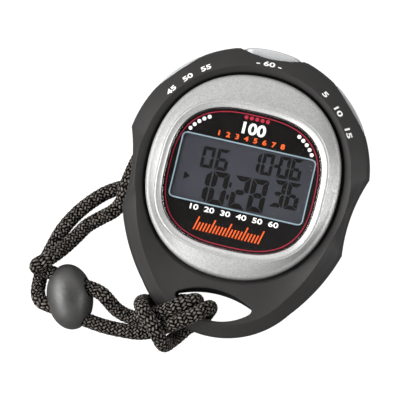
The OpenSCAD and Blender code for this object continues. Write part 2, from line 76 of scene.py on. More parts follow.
def srgb(code):
    """Linear colour of an sRGB hex value."""
    channels = [int(code[i:i + 2], 16) / 255 for i in (1, 3, 5)]
    return [c / 12.92 if c <= 0.04045 else ((c + 0.055) / 1.055) ** 2.4 for c in channels]


def colour_property(name, description, code):
    """A colour setting whose default is an sRGB hex value."""
    return FloatVectorProperty(name=name, description=description, subtype="COLOR", size=3,
                               min=0, max=1, default=srgb(code))


def length_property(name, description, millimetres):
    """A length setting in metres whose default is given in millimetres."""
    return FloatProperty(name=name, description=description, unit="LENGTH", min=0,
                         precision=5, default=millimetres * MM)


def angle_property(name, description, degrees):
    """An angle setting whose default is given in degrees."""
    return FloatProperty(name=name, description=description, subtype="ANGLE", default=math.radians(degrees))


class STOPWATCH_PG_case(bpy.types.PropertyGroup):
    rim_radius: length_property("Rim radius", "Round upper part of the case", 33)
    chin_radius: length_property("Chin radius", "Round end of the chin", 24.55)
    chin_drop: length_property("Chin drop", "Chin's centre below the centre of the case", 21.2)
    grip_radius: length_property("Grip radius", "Hollow of the two finger grips", 45.5)
    ridge_height: length_property("Ridge height", "Crest of the ridge above the table", 15.4)
    colour: colour_property("Case colour", "Soft-touch lacquer of the case", "#211F1E")
    button_colour: colour_property("Button colour", "Satin lacquer of the button caps", "#C9CACB")
    label_colour: colour_property("Label colour", "Ink of the numbers on the rim", "#F4F4F2")


class STOPWATCH_PG_face(bpy.types.PropertyGroup):
    bezel_colour: colour_property("Bezel colour", "Metallic lacquer of the bezel", "#B6B6B5")
    ink_colour: colour_property("Ink colour", "Print behind the lens", "#0B0908")
    line_colour: colour_property("Line colour", "Line and dots near the edge of the lens", "#A02A3C")
    accent_colour: colour_property("Accent colour", "Second row of numbers and tick scale", "#F2642D")
    film_colour: colour_property("Film colour", "Display background", "#37383E")
    lit_colour: colour_property("Segment colour", "Display segments that are on", "#12100F")
    clock: StringProperty(name="Clock", description="Large digits of the display", default="10:28")
    seconds: StringProperty(name="Seconds", description="Middle digits of the display", default="36")
    date: StringProperty(name="Date", description="Small digits of the display", default="10-06")
    lap: StringProperty(name="Lap", description="Lap digits of the display", default="06")


class STOPWATCH_PG_lanyard(bpy.types.PropertyGroup):
    diameter: length_property("Cord diameter", "Braided cord across its yarns", 3.8)
    lay: length_property("Lay", "Length in which a yarn goes once round the cord", 12)
    carriers: IntProperty(name="Yarns", description="Yarns that turn each way", min=4, default=11)
    yarn_colour: colour_property("Yarn colour", "Dyed polyester yarn in its hollows", "#070606")
    # Lighter colour painted on the crowns of the yarns as a painted highlight
    painted_highlight_colour: colour_property("Shine colour", "Crowns of the yarns", "#79726A")
    lock_colour: colour_property("Lock colour", "Moulded cord lock", "#353433")


class STOPWATCH_PG_stage(bpy.types.PropertyGroup):
    side: angle_property("Side", "Camera to the right of the display's axis", 4.33)
    low: angle_property("Low", "Camera towards the chin from the display's axis", 6)
    roll: angle_property("Roll", "Turn of the watch in the picture", -13.38)
    distance: length_property("Distance", "Camera from the middle of the watch", 420)
    lens: FloatProperty(name="Lens", description="Focal length in millimetres", default=141)
    floor_colour: colour_property("Floor colour", "Pale studio floor", "#FFFFFF")


# Modelling helpers

def polar(radius, angle, z):
    """A point in metres round the centre of the case, from millimetres and radians."""
    return Vector((radius * math.cos(angle), FACE_Y + radius * math.sin(angle), z)) * MM


def add_loop(bm, points):
    """Adds a closed loop of edges through points and returns its vertices and edges."""
    verts = [bm.verts.new(p) for p in points]
    return verts, [bm.edges.new(pair) for pair in zip(verts, verts[1:] + verts[:1])]


def extrude_loop(bm, verts, edges, points):
    """Extrudes a loop to new points and returns the new loop in the same order."""
    made = bmesh.ops.extrude_edge_only(bm, edges=edges)["geom"]
    place = {v: i for i, v in enumerate(verts)}
    fresh = [None] * len(verts)
    for v in made:
        if isinstance(v, bmesh.types.BMVert):
            i = next(place[e.other_vert(v)] for e in v.link_edges if e.other_vert(v) in place)
            fresh[i] = v
            v.co = points[i]
    return fresh, [bm.edges.get(pair) for pair in zip(fresh, fresh[1:] + fresh[:1])]


def loft(bm, rings, ends):
    """Skins loops of equal length in order; its ends stay "open", or get a "fill", or "join" each other."""
    first = verts, edges = add_loop(bm, rings[0])
    for ring in rings[1:] + (rings[:1] if ends == "join" else []):
        verts, edges = extrude_loop(bm, verts, edges, ring)
    if ends == "join":
        bmesh.ops.weld_verts(bm, targetmap=dict(zip(verts, first[0])))
    if ends == "fill":
        bmesh.ops.edgeloop_fill(bm, edges=first[1])
        bmesh.ops.edgeloop_fill(bm, edges=edges)
    bmesh.ops.recalc_face_normals(bm, faces=bm.faces)


def lofted(rings, ends, place=Matrix()):
    """A bmesh of its own that holds a loft, moved to its place."""
    bm = bmesh.new()
    loft(bm, rings, ends)
    bm.transform(place)
    return bm


def mesh_object(name, bm):
    """Turns a bmesh into an object at the origin and links it to the scene."""
    mesh = bpy.data.meshes.new(name)
    bm.to_mesh(mesh)
    bm.free()
    obj = bpy.data.objects.new(name, mesh)
    bpy.context.scene.collection.objects.link(obj)
    return obj


def bake_modifiers(obj):
    """Replaces an object's mesh by what its modifiers make of it."""
    graph = bpy.context.evaluated_depsgraph_get()
    old = obj.data
    obj.data = bpy.data.meshes.new_from_object(obj.evaluated_get(graph))
    obj.modifiers.clear()
    bpy.data.meshes.remove(old)


def carve(obj, bm):
    """Cuts the shape in a bmesh out of an object."""
    cutter = mesh_object("cutter", bm)
    cut = obj.modifiers.new("carve", "BOOLEAN")
    cut.operation = "DIFFERENCE"
    cut.solver = "MANIFOLD"
    cut.object = cutter
    bake_modifiers(obj)
    bpy.data.meshes.remove(cutter.data)


def finish_piece(obj, body, materials, sharp=35, replaces=()):
    """Shades a piece, gives it its materials and hands it to its body."""
    mesh = obj.data
    mesh.polygons.foreach_set("use_smooth", [True] * len(mesh.polygons))
    mesh.set_sharp_from_angle(angle=math.radians(sharp))
    mesh.materials.clear()
    for material in materials:
        mesh.materials.append(material)
    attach(obj, body)
    if replaces:
        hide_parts(*replaces)
    return obj


def cylinder(bm, radius, start, end, segments=48):
    """A closed cylinder between two points in metres."""
    way = end - start
    turn = Vector((0, 0, 1)).rotation_difference(way).to_matrix().to_4x4()
    bmesh.ops.create_cone(bm, cap_ends=True, segments=segments, radius1=radius, radius2=radius,
                          depth=way.length, matrix=Matrix.Translation((start + end) / 2) @ turn)


def drill(obj, radius, start, end):
    """Cuts a round hole between two points in metres."""
    hole = bmesh.new()
    cylinder(hole, radius, start, end)
    carve(obj, hole)


def turn_profile(bm, points, centre, axis, steps):
    """Turns an open profile of points once round an axis."""
    verts = [bm.verts.new(p) for p in points]
    edges = [bm.edges.new(pair) for pair in zip(verts, verts[1:])]
    bmesh.ops.spin(bm, geom=verts + edges, cent=centre, axis=axis, angle=2 * math.pi, steps=steps,
                   use_merge=True)
    bmesh.ops.remove_doubles(bm, verts=bm.verts, dist=0.002 * MM)
    bmesh.ops.recalc_face_normals(bm, faces=bm.faces)


# Materials

def add_node(tree, kind, inputs=None, **settings):
    """Adds a node with its settings; inputs are values or sockets to link from."""
    node = tree.nodes.new(kind)
    for name, value in settings.items():
        setattr(node, name, value)
    for name, value in (inputs or {}).items():
        if isinstance(value, bpy.types.NodeSocket):
            tree.links.new(value, node.inputs[name])
        else:
            node.inputs[name].default_value = value
    return node


def new_material(name):
    """An empty material and its node tree."""
    material = bpy.data.materials.new(name)
    material.use_nodes = True
    material.node_tree.nodes.clear()
    return material, material.node_tree


def add_surface(tree, inputs):
    """Ends a tree with one Principled shader; inputs are its constants, or sockets to link from."""
    shader = add_node(tree, "ShaderNodeBsdfPrincipled", inputs)
    add_node(tree, "ShaderNodeOutputMaterial", {"Surface": shader.outputs["BSDF"]})


def rgba(colour):
    return (*colour, 1)


def shades_of(colour, *factors):
    """Darker and lighter shades of a colour."""
    return [rgba([min(1, c * factor) for c in colour]) for factor in factors]


def grained(name, grain, depth, shades, rough, patch=8.0, constants=None):
    """A material with grain, sizes in millimetres: bump, a drift from a dark to a light shade over patches,
    and gloss that varies between two roughnesses."""
    material, tree = new_material(name)
    place = add_node(tree, "ShaderNodeTexCoord").outputs["Object"]
    noises = [
        add_node(tree, "ShaderNodeTexNoise", {"Vector": place, "Scale": 1 / (size * MM), "Detail": detail})
        for size, detail in ((grain, 3.0), (patch, 4.0))]
    fine, broad = [noise.outputs["Fac"] for noise in noises]
    drift = add_node(tree, "ShaderNodeMix", {"Factor": 0.35, "A": broad, "B": fine}, data_type="FLOAT")
    ramp = add_node(tree, "ShaderNodeValToRGB", {"Fac": drift.outputs["Result"]})
    for element, position, shade in zip(ramp.color_ramp.elements, (0.35, 0.65), shades):
        element.position = position
        element.color = shade
    gloss = add_node(tree, "ShaderNodeMapRange", {"Value": fine, "From Min": 0.3, "From Max": 0.7,
                                                  "To Min": rough[0], "To Max": rough[1]})
    bump = add_node(tree, "ShaderNodeBump", {"Height": fine, "Strength": 0.6, "Distance": depth * MM})
    add_surface(tree, {"Base Color": ramp.outputs["Color"], "Roughness": gloss.outputs["Result"],
                       "Normal": bump.outputs["Normal"], **(constants or {})})
    return material


def soft_touch_lacquer(colour):
    """Soft-touch lacquer on moulded ABS: a dull dark skin with a fine grain and a faint bloom at edges."""
    return grained("soft_touch_lacquer", grain=0.22, depth=0.012, shades=shades_of(colour, 0.86, 1.18),
                   rough=(0.5, 0.64), constants={"IOR": 1.45, "Sheen Weight": 0.08, "Sheen Roughness": 0.5})


def silver_lacquer(name, colour, rough, flake, metallic):
    """Metallic lacquer on moulded ABS: aluminium flakes that sparkle under a thin clear coat.
    The flakes are drawn coarser than real ones so that they show in a small picture."""
    material, tree = new_material(name)
    place = add_node(tree, "ShaderNodeTexCoord").outputs["Object"]
    flakes = add_node(tree, "ShaderNodeTexVoronoi", {"Vector": place, "Scale": 1 / (flake * MM)})
    tone = add_node(tree, "ShaderNodeSeparateColor", {"Color": flakes.outputs["Color"]}).outputs
    ramp = add_node(tree, "ShaderNodeValToRGB", {"Fac": tone["Red"]})
    for element, shade in zip(ramp.color_ramp.elements, shades_of(colour, 0.84, 1.12)):
        element.color = shade
    gloss = add_node(tree, "ShaderNodeMapRange",
                     {"Value": tone["Green"], "To Min": rough * 0.75, "To Max": rough * 1.25})
    bump = add_node(tree, "ShaderNodeBump", {"Height": tone["Blue"], "Strength": 0.1, "Distance": 0.02 * MM})
    add_surface(tree, {"Base Color": ramp.outputs["Color"], "Roughness": gloss.outputs["Result"],
                       "Normal": bump.outputs["Normal"], "Metallic": metallic,
                       "Coat Weight": 0.04, "Coat Roughness": 0.3})
    return material


def clear_acrylic():
    """Polished cast acrylic: colourless, with a mirror-like face and fine hairline wear."""
    material, tree = new_material("clear_acrylic")
    place = add_node(tree, "ShaderNodeTexCoord").outputs["Object"]
    wear = add_node(tree, "ShaderNodeTexNoise", {"Vector": place, "Scale": 1 / (3 * MM), "Detail": 6.0})
    gloss = add_node(tree, "ShaderNodeMapRange", {"Value": wear.outputs["Fac"], "From Min": 0.4,
                                                  "From Max": 0.7, "To Min": 0.0, "To Max": 0.05})
    add_surface(tree, {"Base Color": (1, 1, 1, 1), "Roughness": gloss.outputs["Result"], "IOR": 1.49,
                       "Transmission Weight": 1.0})
    return material


def printed_ink(name, colour):
    """Screen-printed ink: an even, slightly mottled coat with a dull face."""
    return grained(name, grain=0.12, depth=0.004, shades=shades_of(colour, 0.92, 1.06), rough=(0.5, 0.62),
                   patch=3.0, constants={"Specular IOR Level": 0.05})


def display_film(colour):
    """Polarising film over the liquid crystal: cool grey with a faint grain of the reflector behind it."""
    return grained("polarising_film", grain=0.16, depth=0.003, shades=shades_of(colour, 0.9, 1.08),
                   rough=(0.3, 0.42), patch=12.0, constants={"Specular IOR Level": 0.1})


def moulded_nylon(colour):
    """Moulded nylon, rubbed satin in use: near black with a fine spark-eroded grain."""
    return grained("moulded_nylon", grain=0.4, depth=0.05, shades=shades_of(colour, 0.6, 1.5),
                   rough=(0.34, 0.56), patch=6.0, constants={"IOR": 1.53, "Specular IOR Level": 0.8})


def metal(name, light, dark, grain, rough):
    """Rolled or turned metal of an inner piece: bright, with fine working marks."""
    return grained(name, grain, depth=0.004, shades=[rgba(srgb(code)) for code in (dark, light)],
                   rough=rough, patch=4.0, constants={"Metallic": 1.0})


def plastic(name, light, dark, grain, rough):
    """Moulded, potted or laminated inner piece with a fine grain."""
    return grained(name, grain, depth=0.006, shades=[rgba(srgb(code)) for code in (dark, light)],
                   rough=rough, patch=5.0)


# Filaments that show side by side on a yarn
FILAMENTS = 7


def braided_polyester(yarn, highlight_paint, carriers):
    """Braided polyester yarn: black hollows between the yarns, and crowns painted lighter along their fibres
    as a painted highlight. Each yarn runs over two others and under two, as in the mesh."""
    material, tree = new_material("braided_polyester")
    chart = add_node(tree, "ShaderNodeUVMap", uv_map="yarns").outputs["UV"]
    axes = add_node(tree, "ShaderNodeSeparateXYZ", {"Vector": chart}).outputs
    place = add_node(tree, "ShaderNodeTexCoord").outputs["Object"]
    tuft = add_node(tree, "ShaderNodeTexNoise", {"Vector": place, "Scale": 1 / (0.9 * MM), "Detail": 3.0})
    sockets = {"u": axes["X"], "v": axes["Y"], "tuft": tuft.outputs["Fac"]}
    # Each step is a name, an operation and its operands
    steps = (
        # The yarns that cross here, and which of them is on top
        ("right_way", "ADD", "u", "v"),
        ("left_way", "SUBTRACT", "u", "v"),
        ("right", "MULTIPLY", "right_way", carriers),
        ("left", "MULTIPLY", "left_way", carriers),
        ("right_yarn", "FLOOR", "right"),
        ("left_yarn", "FLOOR", "left"),
        ("apart", "SUBTRACT", "right_yarn", "left_yarn"),
        ("order", "FLOORED_MODULO", "apart", 4.0),
        ("right_on_top", "LESS_THAN", "order", 1.5),
        # The place across the upper yarn from 0 to 1, and along what shows of it from -1 to 1
        ("right_part", "SUBTRACT", "right", "right_yarn"),
        ("left_part", "SUBTRACT", "left", "left_yarn"),
        ("lead", "SUBTRACT", "right_part", "left_part"),
        ("across", "MULTIPLY_ADD", "right_on_top", "lead", "left_part"),
        ("gain", "MULTIPLY", "right_on_top", "lead"),
        ("other", "SUBTRACT", "right_part", "gain"),
        ("first", "LESS_THAN", "order", 0.5),
        ("last", "GREATER_THAN", "order", 2.5),
        ("far", "ADD", "first", "last"),
        ("reach", "ADD", "other", "far"),
        ("along", "SUBTRACT", "reach", 1.0),
        # The crown of the yarn, round across it and long along it
        ("off", "MULTIPLY_ADD", "across", 2.0, -1.0),
        ("off_squared", "MULTIPLY", "off", "off"),
        ("round", "SUBTRACT", 1.0, "off_squared"),
        ("along_size", "ABSOLUTE", "along"),
        ("along_cubed", "POWER", "along_size", 3.0),
        ("long", "SUBTRACT", 1.0, "along_cubed"),
        ("crown", "MULTIPLY", "round", "long"),
        # Its filaments, and the painted highlight that they show in tufts
        ("comb_turn", "MULTIPLY", "across", FILAMENTS * 2 * math.pi),
        ("comb", "SINE", "comb_turn"),
        ("ribbed", "MULTIPLY_ADD", "comb", 0.14, "crown"),
        ("highlight_tufts", "MULTIPLY_ADD", "tuft", 2.4, -0.28),
        ("lit", "MULTIPLY", "ribbed", "highlight_tufts"),
    )
    for name, operation, *operands in steps:
        inputs = {i: sockets.get(value, value) for i, value in enumerate(operands)}
        sockets[name] = add_node(tree, "ShaderNodeMath", inputs, operation=operation).outputs[0]
    # The crowns get a lighter colour over the black of the yarn: a painted highlight
    ramp = add_node(tree, "ShaderNodeValToRGB", {"Fac": sockets["lit"]})
    for element, position, colour in zip(ramp.color_ramp.elements, (0.36, 1.0), (yarn, highlight_paint)):
        element.position = position
        element.color = rgba(colour)
    bump = add_node(tree, "ShaderNodeBump",
                    {"Height": sockets["ribbed"], "Strength": 0.8, "Distance": 0.25 * MM})
    gloss = add_node(tree, "ShaderNodeMapRange", {"Value": sockets["crown"], "To Min": 0.9, "To Max": 0.34})
    glint = add_node(tree, "ShaderNodeMapRange",
                     {"Value": sockets["lit"], "From Min": 0.4, "To Min": 0.0, "To Max": 0.9})
    add_surface(tree, {"Base Color": ramp.outputs["Color"], "Roughness": gloss.outputs["Result"],
                       "Specular IOR Level": glint.outputs["Result"], "Normal": bump.outputs["Normal"]})
    return material


# Case, in millimetres round the centre of the case

GRIP_TOP = math.radians(7.5)
GRIP_LOW = Vector((30.1, -17))
FLANK_RADIUS = 51.5
FLANK_FOOT = math.radians(-35)
FLAT_DISTANCE = 32
BUTTON_ANGLES = {"start_stop": math.radians(43), "lap_reset": math.radians(137), "mode": math.radians(90)}
# Angle on both sides of a button in which the outline gives way to it
BUTTON_REACH = 0.4
NOTCH_Y = 29.9
NOTCH_RADIUS = 24.5
WAIST_Z = 9.8
CHIN_START = 18
CHIN_LENGTH = 24
# Share of its height that the chin loses above and below the waist
CHIN_THIN = {True: 0.45, False: 0.22}
BACK_Z = 4.6
COVER_Z = 6.2
LEDGE_Z = 12.2
SEAT_Z = 13.4
SEAT_GAP = 0.15
CAVITY_RADIUS = 21
RECESS_RADIUS = 25
CHANNEL_WIDTH = 1.15
# Way from the outline to the crest of the ridge, what it grows by at the top and at the chin, and its least
CREST_INSET = 4.9
CREST_TOP = 1.05
CREST_CHIN = 1.5
CREST_LEAST = 1.5
# Inset and height of the rounded flank, from the back edge up to the foot of the band
FLANK_PROFILE = [(4, BACK_Z), (2.4, 5.2), (1.2, 6.2), (0.4, 7.6), (0, 9.2), (0, 10.4), (0.45, 11.7),
                 (1.2, 12.6)]
# Share of the way and depth below the crest on the band that rises to it
BAND_PROFILE = ((0.25, 2.12), (0.5, 1.28), (0.75, 0.6), (0.92, 0.17), (0.98, 0.03))
# Share of the way and sag of the slope behind the crest, and of the narrow channel between it and the bezel
SLOPE_PROFILE = ((0.02, 0.02), (0.15, 0.02), (0.5, -0.05), (0.8, -0.03), (1, 0))
CHANNEL_PROFILE = ((0.15, 0.12), (0.3, 0.45), (0.42, 1.0), (0.52, 1.6), (0.65, 2.0), (0.85, 2.0),
                   (0.95, 1.8))


def arc_centre(p, q, radius, side):
    """Centre of an arc from p to q; side +1 puts it left of the way from p to q."""
    way = q - p
    height = math.sqrt(radius * radius - way.length_squared / 4)
    return (p + q) / 2 + side * height * Vector((-way.y, way.x)).normalized()


def ray_circle(angle, centre, radius, far):
    """Distance along a ray from the centre of the case to a circle."""
    along = Vector((math.cos(angle), math.sin(angle))).dot(centre)
    return along + far * math.sqrt(along * along - centre.length_squared + radius * radius)


class Outline:
    """Outline of the case in polar form, with and without its grips."""

    def __init__(self, case):
        self.rim = case.rim_radius / MM
        self.chin_radius = case.chin_radius / MM
        self.chin = Vector((0, -case.chin_drop / MM))
        foot = self.chin + self.chin_radius * Vector((math.cos(FLANK_FOOT), math.sin(FLANK_FOOT)))
        top = self.rim * Vector((math.cos(GRIP_TOP), math.sin(GRIP_TOP)))
        self.grip_radius = case.grip_radius / MM
        self.grip = arc_centre(GRIP_LOW, top, self.grip_radius, -1)
        self.flank = arc_centre(foot, GRIP_LOW, FLANK_RADIUS, 1)
        self.chin_end = math.atan2(foot.y, foot.x)
        self.grip_low = math.atan2(GRIP_LOW.y, GRIP_LOW.x)

    def angles(self):
        """Angles of a ring, close where the outline turns and on each corner of it."""
        corners = [-math.pi / 2, self.chin_end, self.grip_low, GRIP_TOP, math.pi / 2]
        counts = [18, 14, 24, 48]
        right = [a + (b - a) * i / n for a, b, n in zip(corners, corners[1:], counts) for i in range(n)]
        return right + [math.pi / 2] + [math.pi - a for a in reversed(right[1:])]

    def radius(self, angle):
        a = math.pi - angle if angle > math.pi / 2 else angle
        if a < self.chin_end:
            return ray_circle(a, self.chin, self.chin_radius, 1)
        if a < self.grip_low:
            return ray_circle(a, self.flank, FLANK_RADIUS, 1)
        if a < GRIP_TOP:
            return ray_circle(a, self.grip, self.grip_radius, -1)
        return self.rim

    def plain(self, angle):
        """The outline with the grips filled in, which the ridge follows."""
        a = math.pi - angle if angle > math.pi / 2 else angle
        if self.grip_low < a < GRIP_TOP:
            share = (GRIP_TOP - a) / (GRIP_TOP - self.grip_low)
            return self.rim + (GRIP_LOW.length - self.rim) * share
        return self.radius(angle)

    def limited(self, angle, radius, z):
        """Keeps a radius behind the flats of the side buttons and the thumb notch of the mode button."""
        for name in ("start_stop", "lap_reset"):
            turn = angle - BUTTON_ANGLES[name]
            if abs(turn) < BUTTON_REACH:
                radius = min(radius, FLAT_DISTANCE / math.cos(turn))
        if z > STEM_Z and abs(angle - BUTTON_ANGLES["mode"]) < BUTTON_REACH:
            radius = min(radius, ray_circle(angle, Vector((0, NOTCH_Y + NOTCH_RADIUS)), NOTCH_RADIUS, -1))
        return radius


def chin_height(y, z):
    """The chin gets thinner towards its end, from both faces."""
    share = min(1, max(0, (-y - CHIN_START) / CHIN_LENGTH))
    share = share * share * (3 - 2 * share)
    return WAIST_Z + (z - WAIST_Z) * (1 - share * CHIN_THIN[z > WAIST_Z])


class Oval:
    """A superellipse that sits a little below the centre of the case."""

    def __init__(self, half_width, half_height, power, y):
        self.half_width, self.half_height, self.power, self.y = half_width, half_height, power, y

    def radius(self, angle, inset=0.0):
        """Radius in millimetres of the oval moved in by inset."""
        across = abs(math.cos(angle)) / (self.half_width - inset)
        up = abs(math.sin(angle)) / (self.half_height - inset)
        return (across ** self.power + up ** self.power) ** (-1 / self.power)

    def angle(self, place):
        """The angle at which a place in metres is seen from the oval's middle."""
        return math.atan2(place.y - (FACE_Y + self.y) * MM, place.x)

    def outside(self, place, inset=0.0):
        """How far in millimetres a place lies outside the oval, along its ray from the oval's middle."""
        spot = place.xy / MM - Vector((0, FACE_Y + self.y))
        return spot.length - self.radius(math.atan2(spot.y, spot.x), inset)

    def point(self, angle, inset, z):
        """A point in metres on the oval moved in by inset."""
        r = self.radius(angle, inset)
        return Vector((r * math.cos(angle), FACE_Y + self.y + r * math.sin(angle), z)) * MM

    def ring(self, inset, z, count=192):
        return [self.point(2 * math.pi * i / count, inset, z) for i in range(count)]


BEZEL = Oval(25.7, 27.25, 2.15, -2.65)
LENS = Oval(20.45, 18.65, 2.8, -4.05)


def curve_through(levels, steps):
    """Points of a Catmull-Rom curve through a profile's levels."""
    padded = [levels[0]] + levels + [levels[-1]]
    points = []
    for a, b, c, d in zip(padded, padded[1:], padded[2:], padded[3:]):
        for i in range(steps):
            t = i / steps
            points.append(tuple(
                0.5 * (2 * q + (r - p) * t + (2 * p - 5 * q + 4 * r - s) * t * t
                       + (3 * q - p - 3 * r + s) * t ** 3) for p, q, r, s in zip(a, b, c, d)))
    return points + [levels[-1]]


# Height of the step in which the thumb notch starts
NOTCH_STEP = 0.01


def case_rings(case):
    """Rings of the case from its back edge over the rim and the ridge to the bezel's seat and the cavity."""
    outline = Outline(case)
    angles = outline.angles()
    crest_z = case.ridge_height / MM
    foot = FLANK_PROFILE[-1][0]

    def placed(radius_at, z):
        points = []
        for a in angles:
            r = outline.limited(a, radius_at(a), z)
            y = r * math.sin(a)
            points.append(Vector((r * math.cos(a), FACE_Y + y, chin_height(y, z))) * MM)
        return points

    def crest(a):
        rise = math.sin(a)
        inset = CREST_INSET + (CREST_TOP * rise if rise > 0 else -CREST_CHIN * rise * rise)
        return min(outline.plain(a) - inset, outline.radius(a) - CREST_LEAST)

    def band(share):
        """Radius on the sloping band from its foot to the crest."""
        return lambda a: outline.radius(a) - foot + (crest(a) - outline.radius(a) + foot) * share

    def between(start, end, profile):
        """Rings at shares of the way from one ring to another, each lowered by its sag."""
        return [[p.lerp(q, share) - Vector((0, 0, sag * MM)) for p, q in zip(start, end)]
                for share, sag in profile]

    # The thumb notch starts in a step at the height of the stems
    flank = curve_through(FLANK_PROFILE, 3)
    low = [level for level in flank if level[1] < STEM_Z]
    high = [level for level in flank if level[1] >= STEM_Z]
    step = low[-1][0] + (high[0][0] - low[-1][0]) * (STEM_Z - low[-1][1]) / (high[0][1] - low[-1][1])
    levels = low + [(step, STEM_Z), (step, STEM_Z + NOTCH_STEP)] + high
    rings = [placed(lambda a: RECESS_RADIUS, BACK_Z)]
    rings += [placed(lambda a, d=d: outline.radius(a) - d, z) for d, z in levels]
    rings += [placed(band(share), crest_z - drop) for share, drop in BAND_PROFILE]
    top = placed(crest, crest_z)
    seat = [BEZEL.point(BEZEL.angle(p), -SEAT_GAP, SEAT_Z) for p in top]
    brink = [q + (p - q).normalized() * CHANNEL_WIDTH * MM for p, q in zip(top, seat)]
    rings += between(top, brink, SLOPE_PROFILE) + between(brink, seat, CHANNEL_PROFILE)
    rings.append([Vector((q.x, q.y, LEDGE_Z * MM)) for q in seat])
    for radius, z in ((CAVITY_RADIUS, LEDGE_Z), (CAVITY_RADIUS, COVER_Z), (RECESS_RADIUS, COVER_Z)):
        rings.append([polar(radius, a, z) for a in angles])
    return rings


# Lanyard eye, in millimetres round the centre of the case

EYE_HALF_WIDTH = 10.95
EYE_TOP_RISE = 2.5
EYE_LOW_DROP = 4.8
EYE_Y = -36.8
EYE_LOW_Z = 5.6
EYE_HIGH_Z = 13.2
EYE_ROUNDING = 0.4
# Length of a tip that is rounded, and rise of the upper bow towards the face
EYE_TIP = 1.3
EYE_LIFT = 0.9
# The tips move out faster than the bows when the eye is grown
EYE_TIP_GROWTH = 1.6


def eye_ring(grow, z, lift=0.0, count=40):
    """A loop of the lanyard eye, two bows that meet in round tips, grown by a size, its upper bow lifted."""
    half = EYE_HALF_WIDTH + EYE_TIP_GROWTH * grow
    rises = (EYE_TOP_RISE + grow + lift, -EYE_LOW_DROP - grow)

    def bow(x, rise):
        radius = (half * half + rise * rise) / (2 * rise)
        return Vector((x, rise - radius + math.copysign(math.sqrt(radius * radius - x * x), rise)))

    points = []
    for rise, other, start in ((*rises, 1), (*reversed(rises), -1)):
        for i in range(count):
            x = start * half * math.cos(math.pi * i / count)
            spot = bow(x, rise)
            over = abs(x) - half + EYE_TIP
            if over > 0:
                # A quadratic curve from bow to bow rounds the point
                t = over / EYE_TIP / 2
                edge = math.copysign(half - EYE_TIP, x)
                tip = Vector((math.copysign(half, x), 0))
                spot = (1 - t) ** 2 * bow(edge, rise) + 2 * t * (1 - t) * tip + t * t * bow(edge, other)
            points.append(Vector((spot.x, FACE_Y + EYE_Y + spot.y, z)) * MM)
    return points


def eye_cutter():
    """The eye as a spool that flares to both faces, which rounds its rims; its upper wall slopes."""
    flare = [(EYE_ROUNDING * (1 - math.cos(a)), EYE_ROUNDING * math.sin(a)) for a in QUARTER_TURN]
    # Beyond both faces the spool runs out wide
    wide, far = EYE_ROUNDING + 2, EYE_ROUNDING + 3
    rings = [eye_ring(wide, EYE_LOW_Z - far)]
    rings += [eye_ring(g, EYE_LOW_Z + EYE_ROUNDING - h) for g, h in reversed(flare)]
    rings += [eye_ring(g, EYE_HIGH_Z - EYE_ROUNDING + h, EYE_LIFT) for g, h in flare]
    rings.append(eye_ring(wide, EYE_HIGH_Z + far, EYE_LIFT))
    return lofted(rings, "fill")


# Buttons, in millimetres along a button's own axis

CAP_WIDTH = 16.4
CAP_INNER = 28.6
CAP_CROWN = 32.65
CAP_TRAVEL = 1.2
CAP_FOOT = 0.25
CAP_ROUNDING = 0.6
POCKET_GAP = 0.2
POCKET_MOUTH = 37
STEM_ROOM = 0.98
SPRING_ROOM = 2.5
SPRING_FOOT = 25.4
SPRING_END = CAP_INNER + 1.6
SPRING_TURNS = 5
STEPS_PER_TURN = 32
# Radii of a spring's wire and of its coil
SPRING_WIRE = 0.225
SPRING_RADIUS = 1.9
# Radius and place of the steps of a bore
CASE_BORE = ((STEM_ROOM, 18), (STEM_ROOM, SPRING_FOOT), (SPRING_ROOM, SPRING_FOOT), (SPRING_ROOM, 28))
CAP_BORE = ((SPRING_ROOM, 27), (SPRING_ROOM, SPRING_END))
BUTTONS = {
    "start_stop": {"height": 5.0, "lift": 0, "reach": 33.1},
    "lap_reset": {"height": 5.0, "lift": 0, "reach": 33.1},
    "mode": {"height": 6.4, "lift": 0.85, "reach": CAP_CROWN},
}


def button_frame(name):
    """Turns +X outwards at a button, at the height of its stem."""
    turn = Matrix.Rotation(BUTTON_ANGLES[name], 4, "Z")
    return Matrix.Translation(Vector((0, FACE_Y, STEM_Z)) * MM) @ turn


def pill_ring(width, height, inset, reach_at, lift, straight=14, bend=14):
    """A loop with round ends across a button's axis; reach_at gives the distance along the axis."""
    half = (width - height) / 2
    r = height / 2 - inset
    points = []
    for side in (1, -1):
        for i in range(bend):
            t = math.pi * (i / bend - 0.5)
            points.append((side * (half + r * math.cos(t)), side * r * math.sin(t)))
        for i in range(straight):
            points.append((side * half * (1 - 2 * i / straight), side * r))
    return [Vector((reach_at(y), y, lift + z)) * MM for y, z in points]


def pocket_cutter(name):
    """The pocket that a cap slides in."""
    button = BUTTONS[name]
    wide, high = CAP_WIDTH + 2 * POCKET_GAP, button["height"] + 2 * POCKET_GAP
    inner = CAP_INNER - CAP_TRAVEL - POCKET_GAP
    loops = [pill_ring(wide, high, 0, lambda y, x=x: x, button["lift"]) for x in (inner, POCKET_MOUTH)]
    return lofted(loops, "fill", button_frame(name))


def bore_cutter(name, steps, count=48):
    """A stepped bore along a button's axis, from pairs of radius and place."""
    turns = [2 * math.pi * i / count for i in range(count)]
    loops = [[Vector((x, r * math.cos(t), r * math.sin(t))) * MM for t in turns] for r, x in steps]
    return lofted(loops, "fill", button_frame(name))


# A face of the eye is part of its wall if its normal rises less than this
WALL_RISE = 0.6
# Share of the channel's width to both sides of the bezel's edge that gets painted shade
PAINTED_SHADE_SHARE = 0.75


